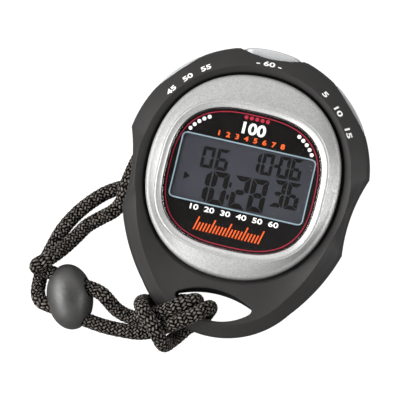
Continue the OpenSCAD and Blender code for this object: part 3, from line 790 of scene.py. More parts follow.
class STOPWATCH_OT_case(bpy.types.Operator):
    """Models the case with its ridge, grips, thumb notch, button pockets and lanyard eye"""
    bl_idname = "stopwatch.case"
    bl_label = "Case"

    def execute(self, context):
        case = context.scene.stopwatch_case
        shell = mesh_object("case_shell", lofted(case_rings(case), "join"))
        carve(shell, eye_cutter())
        for name in BUTTONS:
            carve(shell, pocket_cutter(name))
            carve(shell, bore_cutter(name, CASE_BORE))
        lacquer = soft_touch_lacquer(case.colour)
        # Near-black that paints shade into the eye's wall and the channel by the bezel
        painted_shade = plastic("bare_black_abs", "#0C0B0B", "#060606", 0.3, (0.5, 0.62))
        finish_piece(shell, CASE_BODY, [lacquer, painted_shade], 28, ["case_body"])
        # The wall of the eye and the channel by the bezel get a darker black as painted shade
        for face in shell.data.polygons:
            spot = face.center / MM - Vector((0, FACE_Y + EYE_Y, 0))
            rise = EYE_TOP_RISE + EYE_LIFT if spot.y > 0 else EYE_LOW_DROP
            steep = abs(face.normal.z) < WALL_RISE
            in_eye = steep and abs(spot.x) < EYE_HALF_WIDTH + 1 and abs(spot.y) < rise + EYE_ROUNDING
            beside = abs(BEZEL.outside(face.center)) < PAINTED_SHADE_SHARE * CHANNEL_WIDTH
            face.material_index = int(in_eye or beside and face.center.z > LEDGE_Z * MM)
        return {"FINISHED"}


class STOPWATCH_OT_caps(bpy.types.Operator):
    """Models the three button caps with rounded rims and bowed faces"""
    bl_idname = "stopwatch.caps"
    bl_label = "Button caps"

    def execute(self, context):
        colour = context.scene.stopwatch_case.button_colour
        material = silver_lacquer("satin_silver_lacquer", colour, rough=0.38, flake=0.1, metallic=0.35)
        for name, button in BUTTONS.items():
            height = button["height"]

            def face(y, sink=0.0):
                """Distance of the bowed face along the axis."""
                return button["reach"] - CAP_CROWN + math.sqrt(CAP_CROWN ** 2 - y * y) - sink

            # Inset of each loop, and its distance along the axis
            loops = [(CAP_FOOT, lambda y: CAP_INNER), (0, lambda y: CAP_INNER + CAP_FOOT)]
            for bend in QUARTER_TURN:
                sink = CAP_ROUNDING * (1 - math.sin(bend))
                loops.append((CAP_ROUNDING * (1 - math.cos(bend)), lambda y, sink=sink: face(y, sink)))
            for share in (0.5, 0.8, 0.99):
                loops.append((CAP_ROUNDING + (height / 2 - CAP_ROUNDING) * share, face))
            rings = [pill_ring(CAP_WIDTH, height, *loop, button["lift"]) for loop in loops]
            cap = mesh_object(name + "_cap_shell", lofted(rings, "fill", button_frame(name)))
            carve(cap, bore_cutter(name, CAP_BORE))
            finish_piece(cap, name + "_button", [material], 40, [name + "_cap"])
        return {"FINISHED"}


class STOPWATCH_OT_springs(bpy.types.Operator):
    """Winds the return springs of the buttons at their rest length"""
    bl_idname = "stopwatch.springs"
    bl_label = "Return springs"

    def execute(self, context):
        length = SPRING_END - SPRING_FOOT
        steps = SPRING_TURNS * STEPS_PER_TURN
        advance = Vector(((length - 2 * SPRING_WIRE) / steps, 0, 0)) * MM
        start = Matrix.Translation(Vector((SPRING_FOOT + SPRING_WIRE, SPRING_RADIUS, 0)) * MM)
        material = metal("drawn_spring_steel", "#CFD1D4", "#A2A5A9", 0.15, (0.2, 0.34))
        for name in BUTTONS:
            bm = bmesh.new()
            bmesh.ops.create_circle(bm, cap_ends=False, segments=10, radius=SPRING_WIRE * MM, matrix=start)
            bmesh.ops.spin(bm, geom=bm.verts[:] + bm.edges[:], cent=(0, 0, 0), axis=(1, 0, 0), dvec=advance,
                           angle=2 * math.pi * SPRING_TURNS, steps=steps)
            bmesh.ops.holes_fill(bm, edges=[e for e in bm.edges if e.is_boundary])
            bmesh.ops.recalc_face_normals(bm, faces=bm.faces)
            place = button_frame(name)
            bm.transform(place)
            spring = mesh_object(name + "_spring_coil", bm)
            finish_piece(spring, CASE_BODY, [material], 50, [name + "_spring"])
            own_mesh(spring)
        return {"FINISHED"}


# Bezel and lens: inset and height of their profiles, in millimetres

BEVEL = 1.6
BEZEL_RIM = ((2.2, LEDGE_Z), (0, LEDGE_Z), (0, 14.2), (0.08, 14.6), (0.3, 14.98), (0.62, 15.25),
             (1.0, 15.45))
# Round the lens, from the groove outside the bevel down to the lens seat
BEZEL_INNER = ((-BEVEL - 0.35, 17.16), (-BEVEL - 0.26, 17.1), (-BEVEL - 0.1, 17.1), (-BEVEL, 17.15),
               (-BEVEL + 0.2, 17.16), (-0.35, 16.62), (-0.12, 16.46), (-0.05, 16.3), (-0.05, 14.7),
               (0.5, 14.7), (0.5, 14.2))
BEZEL_BACK = (2.2, 14.2)
DOME_SWELL = 0.12
LENS_EDGE = ((0.25, 14.9), (0.02, 14.95), (0, 15.1), (0, 16.2), (0.06, 16.38), (0.2, 16.48), (0.45, 16.5))

# The seat is taped up to one height, and the bevel is polished above the other and out to the groove
TAPE_TOP = 16.4
POLISH_FOOT = 15
POLISH_EDGE = -BEVEL - 0.1


class STOPWATCH_OT_bezel(bpy.types.Operator):
    """Models the domed silver bezel and the bright bevel round the lens"""
    bl_idname = "stopwatch.bezel"
    bl_label = "Bezel"

    def execute(self, context):
        colour = context.scene.stopwatch_face.bezel_colour
        rings = [BEZEL.ring(inset, z) for inset, z in BEZEL_RIM]
        inner = [LENS.ring(inset, z) for inset, z in BEZEL_INNER]
        dome, brow = rings[-1], inner[0]
        for share in (0.1, 0.25, 0.5, 0.75, 0.9):
            swell = DOME_SWELL * share * (1 - share)
            rings.append([p.lerp(q, share) + Vector((0, 0, swell * (q - p).length))
                          for p, q in zip(dome, brow)])
        rings += inner + [BEZEL.ring(*BEZEL_BACK)]
        bezel = mesh_object("bezel_ring", lofted(rings, "join"))
        lacquer = silver_lacquer("silver_metallic_lacquer", colour, rough=0.52, flake=0.26, metallic=0.6)
        polish = [min(1, c * 1.25) for c in colour]
        bright = silver_lacquer("polished_silver_lacquer", polish, rough=0.38, flake=0.2, metallic=0.6)
        bond = plastic("black_bonding_tape", "#0D0D0D", "#080808", 0.2, (0.6, 0.75))
        finish_piece(bezel, CASE_BODY, [lacquer, bright, bond], 50, ["silver_bezel"])
        # The bevel is polished, and the lens seat below it is taped
        for face in bezel.data.polygons:
            z = face.center.z / MM
            over = LENS.outside(face.center, POLISH_EDGE)
            if z < TAPE_TOP and over < -BEVEL:
                face.material_index = 2
            elif z > POLISH_FOOT and over < 0:
                face.material_index = 1
        return {"FINISHED"}


# The print behind the lens, in millimetres from the centre of the case

INK_Z = 14.8
PRINT_Z = INK_Z + 0.06
WINDOW_SIZE = (35.9, 17.45)
WINDOW_Y = -3.24
WINDOW_CORNER = 1.1
# Growth of the window at both sides of its border
BORDER_SIDES = (0.25, -0.1)
# Insets from the edge of the lens, of the black backing and of both sides of the line
BACKING_INSET = 0.08
LINE_SIDES = (0.76, 0.98)
# A row of dots above the window, and a bow of dots at each side that follows the edge of the lens
DOT_COUNT = 5
ROW_MIDDLE = (0.3, 12.8)
ROW_STEP = 1.455
ROW_DOT = 0.53
BOW_START = 33.3
BOW_STEP = 4.32
BOW_SHARE = 0.908
BOW_DOT = 0.52
# Leaning ticks of the lowest line, every fifth a tall one
TICK_COUNT = 21
TICK_STEP = 0.875
TICK_HALF = 0.17
TICK_LEAN = 0.25
TICK_X = -0.75
TICK_Y = -19.3
TICK_TALL = 3.6
TICK_SHORT = 2.2


def window_ring(grow, z, count=192):
    """A loop in metres of the window grown by a size, met by the same rays as the loops of the lens."""
    half = Vector(WINDOW_SIZE) / 2 - Vector((WINDOW_CORNER, WINDOW_CORNER))
    points = []
    for i in range(count):
        turn = 2 * math.pi * i / count
        way = Vector((math.cos(turn), math.sin(turn)))
        # Halves the stretch of the ray in which it leaves the window
        near, far = 0.0, WINDOW_SIZE[0]
        for _ in range(40):
            middle = (near + far) / 2
            spot = middle * way - Vector((0, WINDOW_Y - LENS.y))
            over = Vector((max(0, abs(spot.x) - half.x), max(0, abs(spot.y) - half.y)))
            near, far = (middle, far) if over.length < WINDOW_CORNER + grow else (near, middle)
        points.append(Vector((near * way.x, FACE_Y + LENS.y + near * way.y, z)) * MM)
    return points


def thicken(bm, thickness):
    """Gives flat faces that look up a thickness downwards."""
    bmesh.ops.recalc_face_normals(bm, faces=bm.faces)
    for f in bm.faces:
        if f.normal.z < 0:
            f.normal_flip()
    bmesh.ops.solidify(bm, geom=bm.faces[:], thickness=thickness * MM)
    bmesh.ops.recalc_face_normals(bm, faces=bm.faces)


def dot(bm, x, y, radius):
    """A round dot behind the lens, in millimetres from the centre of the case."""
    bmesh.ops.create_circle(bm, cap_ends=True, segments=24, radius=radius * MM,
                            matrix=Matrix.Translation(Vector((x, FACE_Y + y, PRINT_Z)) * MM))


def flat_face(bm, points, z):
    """A flat face through points in millimetres from the centre of the case."""
    bm.faces.new([bm.verts.new(Vector((x, FACE_Y + y, z)) * MM) for x, y in points])


def word(bm, text, width, height, place, bold=0.0, cell=0.0):
    """Adds a word as flat faces, fitted to a width and a height in metres, and laid by a function.
    A cell size cuts the faces small enough to follow a curved surface."""
    curve = bpy.data.curves.new("word", "FONT")
    curve.body = text
    curve.offset = bold
    curve.resolution_u = 4
    writer = bpy.data.objects.new("word", curve)
    bpy.context.scene.collection.objects.link(writer)
    mesh = bpy.data.meshes.new_from_object(writer.evaluated_get(bpy.context.evaluated_depsgraph_get()))
    bpy.data.curves.remove(curve)
    low = Vector(map(min, zip(*(v.co for v in mesh.vertices))))
    high = Vector(map(max, zip(*(v.co for v in mesh.vertices))))
    middle, size = (low + high) / 2, high - low
    mesh.transform(Matrix.Diagonal((width / size.x, height / size.y, 1, 1)) @ Matrix.Translation(-middle))
    letters = bmesh.new()
    letters.from_mesh(mesh)
    for axis, span in ((Vector((1, 0, 0)), width), (Vector((0, 1, 0)), height)):
        cuts = int(span / cell) if cell else 0
        for i in range(1, cuts):
            bmesh.ops.bisect_plane(letters, geom=letters.verts[:] + letters.edges[:] + letters.faces[:],
                                   plane_co=axis * span * (i / cuts - 0.5), plane_no=axis)
    for v in letters.verts:
        v.co = place(v.co.x, v.co.y)
    letters.to_mesh(mesh)
    letters.free()
    bm.from_mesh(mesh)
    bpy.data.meshes.remove(mesh)


def flat_word(bm, text, size, middle, bold):
    """A word that lies flat behind the lens, by its size and its middle in millimetres."""
    def place(across, up):
        return Vector((middle[0] * MM + across, (FACE_Y + middle[1]) * MM + up, PRINT_Z * MM))

    word(bm, text, size[0] * MM, size[1] * MM, place, bold)


def print_piece(name, ink, colour, draw, thickness=0.03):
    """A printed layer: what draw puts in a bmesh, made a thin solid of ink."""
    bm = bmesh.new()
    draw(bm)
    bmesh.ops.remove_doubles(bm, verts=bm.verts, dist=0.0005 * MM)
    thicken(bm, thickness)
    return finish_piece(mesh_object(name, bm), CASE_BODY, [printed_ink(ink, colour)], 30)


class STOPWATCH_OT_lens(bpy.types.Operator):
    """Models the clear lens and the print behind it"""
    bl_idname = "stopwatch.lens"
    bl_label = "Lens and print"

    def execute(self, context):
        face = context.scene.stopwatch_face
        lens = mesh_object("lens_pane", lofted([LENS.ring(inset, z) for inset, z in LENS_EDGE], "fill"))
        # Light reaches the print through the lens without the noise of refracted light
        lens.visible_shadow = False
        finish_piece(lens, CASE_BODY, [clear_acrylic()], 50, ["window_lens"])

        def backing(bm):
            loft(bm, [LENS.ring(BACKING_INSET, INK_Z), window_ring(0, INK_Z)], "open")

        def lines(bm):
            loft(bm, [LENS.ring(inset, PRINT_Z) for inset in LINE_SIDES], "open")
            for i in range(DOT_COUNT):
                dot(bm, ROW_MIDDLE[0] + ROW_STEP * (i - DOT_COUNT // 2), ROW_MIDDLE[1], ROW_DOT)

        def white(bm):
            for i in range(DOT_COUNT):
                turn = math.radians(BOW_START + BOW_STEP * i)
                r = BOW_SHARE * LENS.radius(turn)
                for side in (-1, 1):
                    dot(bm, side * r * math.cos(turn), LENS.y + r * math.sin(turn), BOW_DOT)
            flat_word(bm, "100", size=(6.3, 3.2), middle=(0.15, 10.0), bold=0.03)
            flat_word(bm, "10  20  30  40  50  60", size=(23.9, 1.45), middle=(0.2, -13.45), bold=0.02)

        def accents(bm):
            flat_word(bm, "1  2  3  4  5  6  7  8", size=(18.0, 1.45), middle=(0.1, 7.2), bold=0.02)
            for i in range(TICK_COUNT):
                tall = TICK_SHORT if i % 5 else TICK_TALL
                x = TICK_X + TICK_STEP * (i - TICK_COUNT // 2)
                lean = TICK_LEAN * tall
                foot = [(x - TICK_HALF, TICK_Y), (x + TICK_HALF, TICK_Y)]
                flat_face(bm, foot + [(u + lean, v + tall) for u, v in reversed(foot)], PRINT_Z)

        def border(bm):
            loft(bm, [window_ring(grow, PRINT_Z) for grow in BORDER_SIDES], "open")

        ink = print_piece("lens_ink", "black_screen_ink", face.ink_colour, backing, thickness=0.1)
        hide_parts("lens_mask")
        print_piece("lens_lines", "crimson_screen_ink", face.line_colour, lines)
        print_piece("lens_white", "white_screen_ink", srgb("#F6F6F4"), white)
        print_piece("lens_accents", "orange_screen_ink", face.accent_colour, accents)
        print_piece("window_border", "pale_screen_ink", srgb("#8496A0"), border)
        return {"FINISHED"}


# Liquid crystal digits, in millimetres from the middle of the window

# The seven bars that each sign lights: top, upper right, lower right, bottom, lower left, upper left, middle
SIGNS = {"0": "1111110", "1": "0110000", "2": "1101101", "3": "1111001", "4": "0110011", "5": "1011011",
         "6": "1011111", "7": "1110000", "8": "1111111", "9": "1111011", "-": "0000001"}
# Rows by property: lower edge, width and height of the signs, and the left edge of each
ROWS = {
    "lap": (1.0, 3.3, 5.7, (-11.9, -8.0)),
    "date": (1.9, 3.0, 5.8, (0.7, 4.1, 6.6, 8.5, 11.8)),
    "clock": (-8.2, 4.4, 8.8, (-13.0, -8.2, -3.5, -2.5, 2.3)),
    "seconds": (-5.9, 3.5, 7.2, (8.0, 11.9)),
}
ARROW = ((-15.3, -3.6), (-15.3, -1.4), (-13.6, -2.5))
SLANT = 0.05
# Shares of a sign's height: a bar's thickness, the gap between bars, a colon's width and its dots' feet
BAR_THICKNESS = 0.155
BAR_GAP = 0.012
COLON_WIDTH = 0.075
COLON_FEET = (0.22, 0.6)
# The display module sits a little turned and moved behind its window
MODULE_TURN = math.radians(2.4)
MODULE_X = 0.1
DIGIT_Z = 14.15


def bars(width, height):
    """Outlines of the seven bars of a sign in a box, in millimetres from the box's lower left corner."""
    thick = BAR_THICKNESS * height
    gap = BAR_GAP * height
    half = height / 2
    top = [(gap, height), (width - gap, height), (width - thick - gap, height - thick),
           (thick + gap, height - thick)]
    upper = [(width, height - gap), (width, half + gap + 0.1 * thick), (width - 0.5 * thick, half + gap),
             (width - thick, half + 0.5 * thick + gap), (width - thick, height - thick - gap)]
    middle = [(0.6 * thick + gap, half), (thick + gap, half + 0.5 * thick),
              (width - thick - gap, half + 0.5 * thick), (width - 0.6 * thick - gap, half),
              (width - thick - gap, half - 0.5 * thick), (thick + gap, half - 0.5 * thick)]

    def upset(points):
        return [(x, height - y) for x, y in points]

    def mirrored(points):
        return [(width - x, y) for x, y in points]

    return [top, upper, upset(upper), upset(top), mirrored(upset(upper)), mirrored(upper), middle]


def digits(bm, text, low, width, height, lefts):
    """A row of signs that lean to the right."""
    turn = Matrix.Rotation(MODULE_TURN, 2)
    for mark, left in zip(text, lefts):
        if mark == ":":
            wide = COLON_WIDTH * height
            feet = [share * height for share in COLON_FEET]
            shapes = [[(0, y), (wide, y), (wide, y + 2 * wide), (0, y + 2 * wide)] for y in feet]
        else:
            shapes = [shape for lit, shape in zip(SIGNS[mark], bars(width, height)) if lit == "1"]
        for shape in shapes:
            spots = [turn @ Vector((left + x + SLANT * y, low + y)) for x, y in shape]
            flat_face(bm, [(p.x + MODULE_X, WINDOW_Y + p.y) for p in spots], DIGIT_Z)


class STOPWATCH_OT_display(bpy.types.Operator):
    """Models the digits of the liquid crystal display"""
    bl_idname = "stopwatch.display"
    bl_label = "Display"

    def execute(self, context):
        face = context.scene.stopwatch_face

        def lit(bm):
            for name, row in ROWS.items():
                digits(bm, getattr(face, name), *row)
            flat_face(bm, [(x, WINDOW_Y + y) for x, y in ARROW], DIGIT_Z)

        print_piece("display_digits", "dark_liquid_crystal", face.lit_colour, lit)
        return {"FINISHED"}


# Numbers on the rim by button: text, width, turn from the button's axis in radians, and radius

LABELS = {
    "start_stop": ("5   10   15", 14.4, -0.01, 28.7),
    "lap_reset": ("45   50   55", 14.0, -0.02, 28.7),
    "mode": ("- 60 -", 6.9, 0, 28.2),
}
LABEL_HEIGHT = 1.45
LABEL_LIFT = 0.02
# Size to which the faces of the words are cut, and the height from which the rim below them is sought
LABEL_CELL = 0.3
LABEL_RAY_Z = 30


class STOPWATCH_OT_labels(bpy.types.Operator):
    """Prints plain numbers on the sloping rim"""
    bl_idname = "stopwatch.labels"
    bl_label = "Rim labels"

    def execute(self, context):
        shell = bpy.data.objects["case_shell"]
        tree = BVHTree.FromObject(shell, context.evaluated_depsgraph_get())

        def around(angle, radius):
            """A placer for words that bend round the rim and lie on it."""
            def place(across, up):
                turn = angle - across / (radius * MM)
                spot = polar(radius, turn, 0) + up * Vector((math.cos(turn), math.sin(turn), 0))
                hit = tree.ray_cast(Vector((spot.x, spot.y, LABEL_RAY_Z * MM)), Vector((0, 0, -1)))[0]
                if hit is None:
                    raise RuntimeError("a label lies off the rim")
                return hit + Vector((0, 0, LABEL_LIFT * MM))
            return place

        def labels(bm):
            for name, (text, width, turn, radius) in LABELS.items():
                place = around(BUTTON_ANGLES[name] + turn, radius)
                word(bm, text, width * MM, LABEL_HEIGHT * MM, place, bold=0.03, cell=LABEL_CELL * MM)

        print_piece("rim_labels", "white_pad_ink", context.scene.stopwatch_case.label_colour, labels)
        return {"FINISHED"}


# Rear cover, in millimetres and degrees round the centre of the case

# Radius and height of the profile, from the middle of the outer face to the middle of the inner one
COVER_PROFILE = ((0, 0.25), (15.4, 0.25), (15.7, 0), (17.5, 0), (17.95, 0.12), (18.3, 0.4), (18.5, 0.9),
                 (18.5, 4.1), (18.6, 4.32), (18.85, 4.4), (24.4, 4.4), (24.7, 4.5), (24.8, 4.75),
                 (24.8, COVER_Z), (21.7, COVER_Z), (21.7, 5.8), (21.1, 5.8), (21.1, COVER_Z),
                 (16.9, COVER_Z), (16.9, 1.6), (0, 1.6))
POST_TURNS = (-20, 200, 250, 290)
POST_PLACE = 18.8
POST_RADIUS = 1.2
POST_ENDS = (5.4, 9.8)
SCREW_TURNS = (15, 165, 225, 315)
SCREW_PLACE = 23.1
# Radius and ends of the room of a screw's head and of its shank
SCREW_HOLES = ((1.6, 0, 5.4), (1.0, 5, 8))


class STOPWATCH_OT_back(bpy.types.Operator):
    """Models the rear cover with its boss, screw holes and board posts"""
    bl_idname = "stopwatch.back"
    bl_label = "Rear cover"

    def execute(self, context):
        bm = bmesh.new()
        turn_profile(bm, [polar(r, 0, z) for r, z in COVER_PROFILE], polar(0, 0, 0), (0, 0, 1), steps=144)
        for turn in POST_TURNS:
            ends = [polar(POST_PLACE, math.radians(turn), z) for z in POST_ENDS]
            cylinder(bm, POST_RADIUS * MM, *ends, segments=24)
        cover = mesh_object("rear_cover_shell", bm)
        for turn in SCREW_TURNS:
            for radius, *ends in SCREW_HOLES:
                drill(cover, radius * MM, *[polar(SCREW_PLACE, math.radians(turn), z) for z in ends])
        material = bpy.data.materials["soft_touch_lacquer"]
        finish_piece(cover, CASE_BODY, [material], 35, ["rear_cover"])
        return {"FINISHED"}


# The lanyard's route in metres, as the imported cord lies

ROUTE = [Vector(p) * MM for p in (
    (-6.55, -38.75, 2.55), (-4.7, -36.9, 2.6), (-2.6, -34.9, 2.95), (-1.2, -32.5, 5.4),
    (-0.8, -31.9, 8.2), (-0.8, -31.75, 11.4), (-1.6, -32.5, 14), (-3.4, -34.2, 15.6), (-6, -36.2, 15.7),
    (-8.5, -38, 14.5), (-11, -39.35, 11.4), (-13.4, -40.8, 9.1), (-17.6, -42.45, 7.2),
    (-23.2, -43, 6.3), (-27.6, -43.05, 6.25), (-31.6, -42.68, 6.25), (-34.4, -42.29, 6.25),
    (-37.5, -41.85, 6.25), (-41, -41.36, 6.25), (-43.2, -41.05, 6.25), (-44.6, -40.85, 6.25),
    (-45.95, -40.5, 5.8), (-47.1, -39.55, 4.9), (-47.9, -38.1, 3.9), (-48.4, -35.6, 2.6),
    (-48.5, -32.6, 2.1), (-48.4, -30, 1.95), (-47.6, -26.4, 1.95), (-45.9, -20.4, 1.95),
    (-43.1, -15, 1.95), (-39.4, -10.3, 1.95), (-35.8, -7, 1.95), (-32, -5, 1.95), (-28.4, -5, 1.95),
    (-25, -7, 1.95), (-19, -12.3, 1.95), (-10, -17, 1.95), (0, -18.4, 1.95), (10, -17, 1.95),
    (18.6, -11.8, 1.95), (24, -3.8, 1.95), (26, 6.4, 1.95), (24, 16.4, 1.95), (18.5, 24.4, 1.95),
    (10, 29.6, 1.95), (0, 31.2, 1.95), (-10, 29.2, 1.95), (-19, 23.6, 1.95), (-25.6, 15.6, 1.95),
    (-28.6, 8.4, 2.1), (-30, 3, 3.3), (-30.6, -1.8, 5.4), (-31, -5.9, 6.1), (-31.1, -9, 5.4),
    (-32.8, -11.9, 4.2), (-36, -14.5, 2.8), (-39.4, -17.6, 2.3), (-41.4, -21, 3.1), (-43.3, -24.5, 5.2),
    (-45.2, -27.6, 8), (-46.8, -29.5, 9.6), (-48.3, -30.7, 9.7), (-49.1, -31.6, 8.6), (-48.6, -32.1, 7),
    (-47, -32.1, 6.25), (-39.7, -33.15, 6.25), (-36.6, -33.59, 6.4), (-34.2, -33.92, 6.85),
    (-31.9, -34.24, 7.25), (-29.95, -34.85, 7.3), (-28.1, -36.1, 6.8), (-25.4, -37.95, 5.8),
    (-21.6, -38.95, 5.8), (-17.4, -38.3, 7.8), (-14, -36.65, 11.9), (-10.9, -34.85, 14.4),
    (-8, -32.85, 15.3), (-5.7, -31.3, 14.1), (-4.8, -30.8, 11), (-4.9, -30.9, 7.4), (-6.4, -31.1, 4.4),
    (-9.6, -31.7, 2.7), (-13, -32.8, 2.6), (-16.4, -33.6, 3.4), (-18.6, -34, 6), (-19, -34.7, 9.4),
    (-18.3, -35.6, 13), (-16.7, -37.3, 15.6), (-14.5, -39.3, 16.1), (-12.6, -41.45, 15.1),
    (-11, -43.6, 12.2), (-10.3, -44.1, 8.2), (-9.5, -43, 4.8), (-8.3, -41.3, 2.75),
    (-6.75, -39.1, 2.55), (-6.45, -38.6, 2.555))]


def centripetal(points, spacing, steps=24):
    """A smooth line through points that doesn't swing out at uneven steps, sampled evenly."""
    pts = [points[-2]] + points + [points[1]]
    line = []
    for a, b, c, d in zip(pts, pts[1:], pts[2:], pts[3:]):
        ka = 0.0
        kb = ka + math.sqrt((b - a).length)
        kc = kb + math.sqrt((c - b).length)
        kd = kc + math.sqrt((d - c).length)
        for i in range(steps):
            t = kb + (kc - kb) * i / steps
            p = a.lerp(b, (t - ka) / (kb - ka))
            q = b.lerp(c, (t - kb) / (kc - kb))
            r = c.lerp(d, (t - kc) / (kd - kc))
            start = p.lerp(q, (t - ka) / (kc - ka))
            end = q.lerp(r, (t - kb) / (kd - kb))
            line.append(start.lerp(end, (t - kb) / (kc - kb)))
    line = np.array([list(p) for p in line + [points[-1]]])
    way = np.concatenate([[0], np.cumsum(np.linalg.norm(np.diff(line, axis=0), axis=1))])
    count = int(way[-1] / spacing) + 1
    even = np.linspace(0, way[-1], count)
    return np.stack([np.interp(even, way, line[:, k]) for k in range(3)], 1), even


def carried_frames(line):
    """Two directions across the line at each point, carried along without twist."""
    tangents = np.gradient(line, axis=0)
    tangents /= np.linalg.norm(tangents, axis=1)[:, None]
    across = np.zeros_like(line)
    side = np.array([0.0, 0.0, 1.0])
    for i, t in enumerate(tangents):
        side = side - t * side.dot(t)
        side /= np.linalg.norm(side)
        across[i] = side
    return across, np.cross(tangents, across)


def braid(turn, along, lanyard):
    """Rise of the yarns over the cord from 0 to 1; each yarn runs over two others and under two."""
    right = (turn + along / lanyard.lay) * lanyard.carriers
    left = (turn - along / lanyard.lay) * lanyard.carriers
    order = (np.floor(right) - np.floor(left)) % 4
    right_on_top = order < 2
    across = np.where(right_on_top, right % 1, left % 1)
    through = np.where(right_on_top, (left % 1 + (order == 0)) / 2, (right % 1 + (order == 3)) / 2)
    return np.sqrt(1 - (2 * across - 1) ** 2) * (1 - (2 * through - 1) ** 4)


# Mesh of the cord in millimetres: points round it, spacing along it, rise of crowns and depth of hollows
CORD_SIDES = 48
CORD_SPACING = 0.27
CORD_CROWN = 0.12
CORD_HOLLOW = 0.32


class STOPWATCH_OT_cord(bpy.types.Operator):
    """Models the braided lanyard along its route"""
    bl_idname = "stopwatch.cord"
    bl_label = "Lanyard cord"

    def execute(self, context):
        lanyard = context.scene.stopwatch_lanyard
        sides = CORD_SIDES
        line, along = centripetal(ROUTE, CORD_SPACING * MM)
        first, second = carried_frames(line)
        step = np.arange(sides)[None, :]
        turn = (step / sides * 2 * math.pi)[..., None]
        rise = braid(step / sides, along[:, None], lanyard)
        radius = lanyard.diameter / 2 + CORD_CROWN * MM - CORD_HOLLOW * MM * (1 - rise)
        ways = np.cos(turn) * first[:, None, :] + np.sin(turn) * second[:, None, :]
        spots = line[:, None, :] + radius[..., None] * ways
        rows = np.arange(len(line) - 1)[:, None] * sides
        ahead = (step + 1) % sides
        quads = np.stack([rows + step, rows + ahead, rows + sides + ahead, rows + sides + step], -1)
        ends = [list(range(sides))[::-1], list(range((len(line) - 1) * sides, len(line) * sides))]
        mesh = bpy.data.meshes.new("braided_cord")
        mesh.from_pydata(spots.reshape(-1, 3).tolist(), [], quads.reshape(-1, 4).tolist() + ends)
        # The map runs once round the cord in U and in lays of the braid in V
        lays = along[:, None] / lanyard.lay
        here, there, low, high = np.broadcast_arrays(step / sides, (step + 1) / sides, lays[:-1], lays[1:])
        corners = np.stack([here, low, there, low, there, high, here, high], -1)
        spread = np.concatenate([corners.ravel(), np.zeros(4 * sides)])
        mesh.uv_layers.new(name="yarns").data.foreach_set("uv", spread.astype(np.float32))
        cord = bpy.data.objects.new("braided_cord", mesh)
        context.scene.collection.objects.link(cord)
        material = braided_polyester(lanyard.yarn_colour, lanyard.painted_highlight_colour, lanyard.carriers)
        finish_piece(cord, CASE_BODY, [material], 60, ["lanyard_cord"])
        return {"FINISHED"}


# Cord lock, in millimetres: an egg that leans over the two strands, with a hole for each

LOCK_MIDDLE = Vector((-38.6, -37.5, 6.25)) * MM
LOCK_LENGTH = 17.8
LOCK_WIDTH = 12.5
LOCK_LEAN = math.radians(22)
LOCK_STEPS = 40
HOLE_HEADING = math.radians(-8)
HOLE_OFFSET = 4.82
HOLE_RADIUS = 2.2
HOLE_REACH = 12
MOUTH_RISE = math.radians(13)


class STOPWATCH_OT_cord_lock(bpy.types.Operator):
    """Models the egg-shaped cord lock with its two holes"""
    bl_idname = "stopwatch.cord_lock"
    bl_label = "Cord lock"

    def execute(self, context):
        bm = bmesh.new()
        turns = [math.pi * i / LOCK_STEPS - math.pi / 2 for i in range(LOCK_STEPS + 1)]
        egg = [Vector((LOCK_WIDTH / 2 * math.cos(t), LOCK_LENGTH / 2 * math.sin(t), 0)) * MM for t in turns]
        turn_profile(bm, egg, (0, 0, 0), (0, 1, 0), 2 * LOCK_STEPS)
        bm.transform(Matrix.Translation(LOCK_MIDDLE) @ Matrix.Rotation(LOCK_LEAN, 4, "Z"))
        bead = mesh_object("cord_lock_bead", bm)
        upright = Matrix.Rotation(LOCK_LEAN, 3, "Z") @ Vector((0, 1, 0))
        way = Vector((math.cos(HOLE_HEADING), math.sin(HOLE_HEADING), 0))
        reach = HOLE_REACH * MM
        for side in (-1, 1):
            spot = LOCK_MIDDLE + side * HOLE_OFFSET * MM * upright
            drill(bead, HOLE_RADIUS * MM, spot - reach * way, spot + reach * way)
        # At its right end the upper hole opens upwards
        mouth = math.cos(MOUTH_RISE) * way + math.sin(MOUTH_RISE) * Vector((0, 0, 1))
        drill(bead, HOLE_RADIUS * MM, spot, spot + reach * mouth)
        # A fine remesh with some smoothing rounds the mouths of the holes as a mould does
        remesh = bead.modifiers.new("round", "REMESH")
        remesh.mode = "VOXEL"
        remesh.voxel_size = 0.2 * MM
        smooth = bead.modifiers.new("smooth", "SMOOTH")
        smooth.iterations = 6
        bake_modifiers(bead)
        material = moulded_nylon(context.scene.stopwatch_lanyard.lock_colour)
        finish_piece(bead, "cord_lock", [material], 80, ["cord_lock"])
        return {"FINISHED"}


class STOPWATCH_OT_inner(bpy.types.Operator):
    """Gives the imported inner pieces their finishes"""
    bl_idname = "stopwatch.inner"
    bl_label = "Inner pieces"

    def execute(self, context):
        face = context.scene.stopwatch_face
        by_slot = {
            "display_film": display_film(face.film_colour),
            "display_glass": plastic("float_glass_stack", "#7E848A", "#6F757B", 0.4, (0.08, 0.14)),
            "frame_plastic": plastic("moulded_white_abs", "#E6E5DF", "#D6D5CE", 0.3, (0.45, 0.6)),
            "rubber": plastic("silicone_rubber", "#1C1C1C", "#111111", 0.25, (0.7, 0.85)),
            "steel": metal("stainless_steel", "#D2D3D5", "#A9ABAE", 0.15, (0.22, 0.36)),
            "brass": metal("rolled_brass", "#D8B36A", "#B98F48", 0.15, (0.24, 0.38)),
            "board": plastic("lacquered_glass_fibre", "#17603A", "#0F4A2B", 0.5, (0.25, 0.4)),
            "chip_resin": plastic("potting_resin", "#141416", "#0B0B0D", 0.4, (0.2, 0.35)),
            "capacitor": plastic("fired_ceramic", "#B59B7A", "#99805F", 0.2, (0.35, 0.5)),
        }
        slots = {part["node"]: part["material_slot"] for part in frame["record"]["subparts"]}
        for name, node in frame["nodes"].items():
            if slots[name] in by_slot:
                node.data.materials.clear()
                node.data.materials.append(by_slot[slots[name]])
        return {"FINISHED"}


# Studio

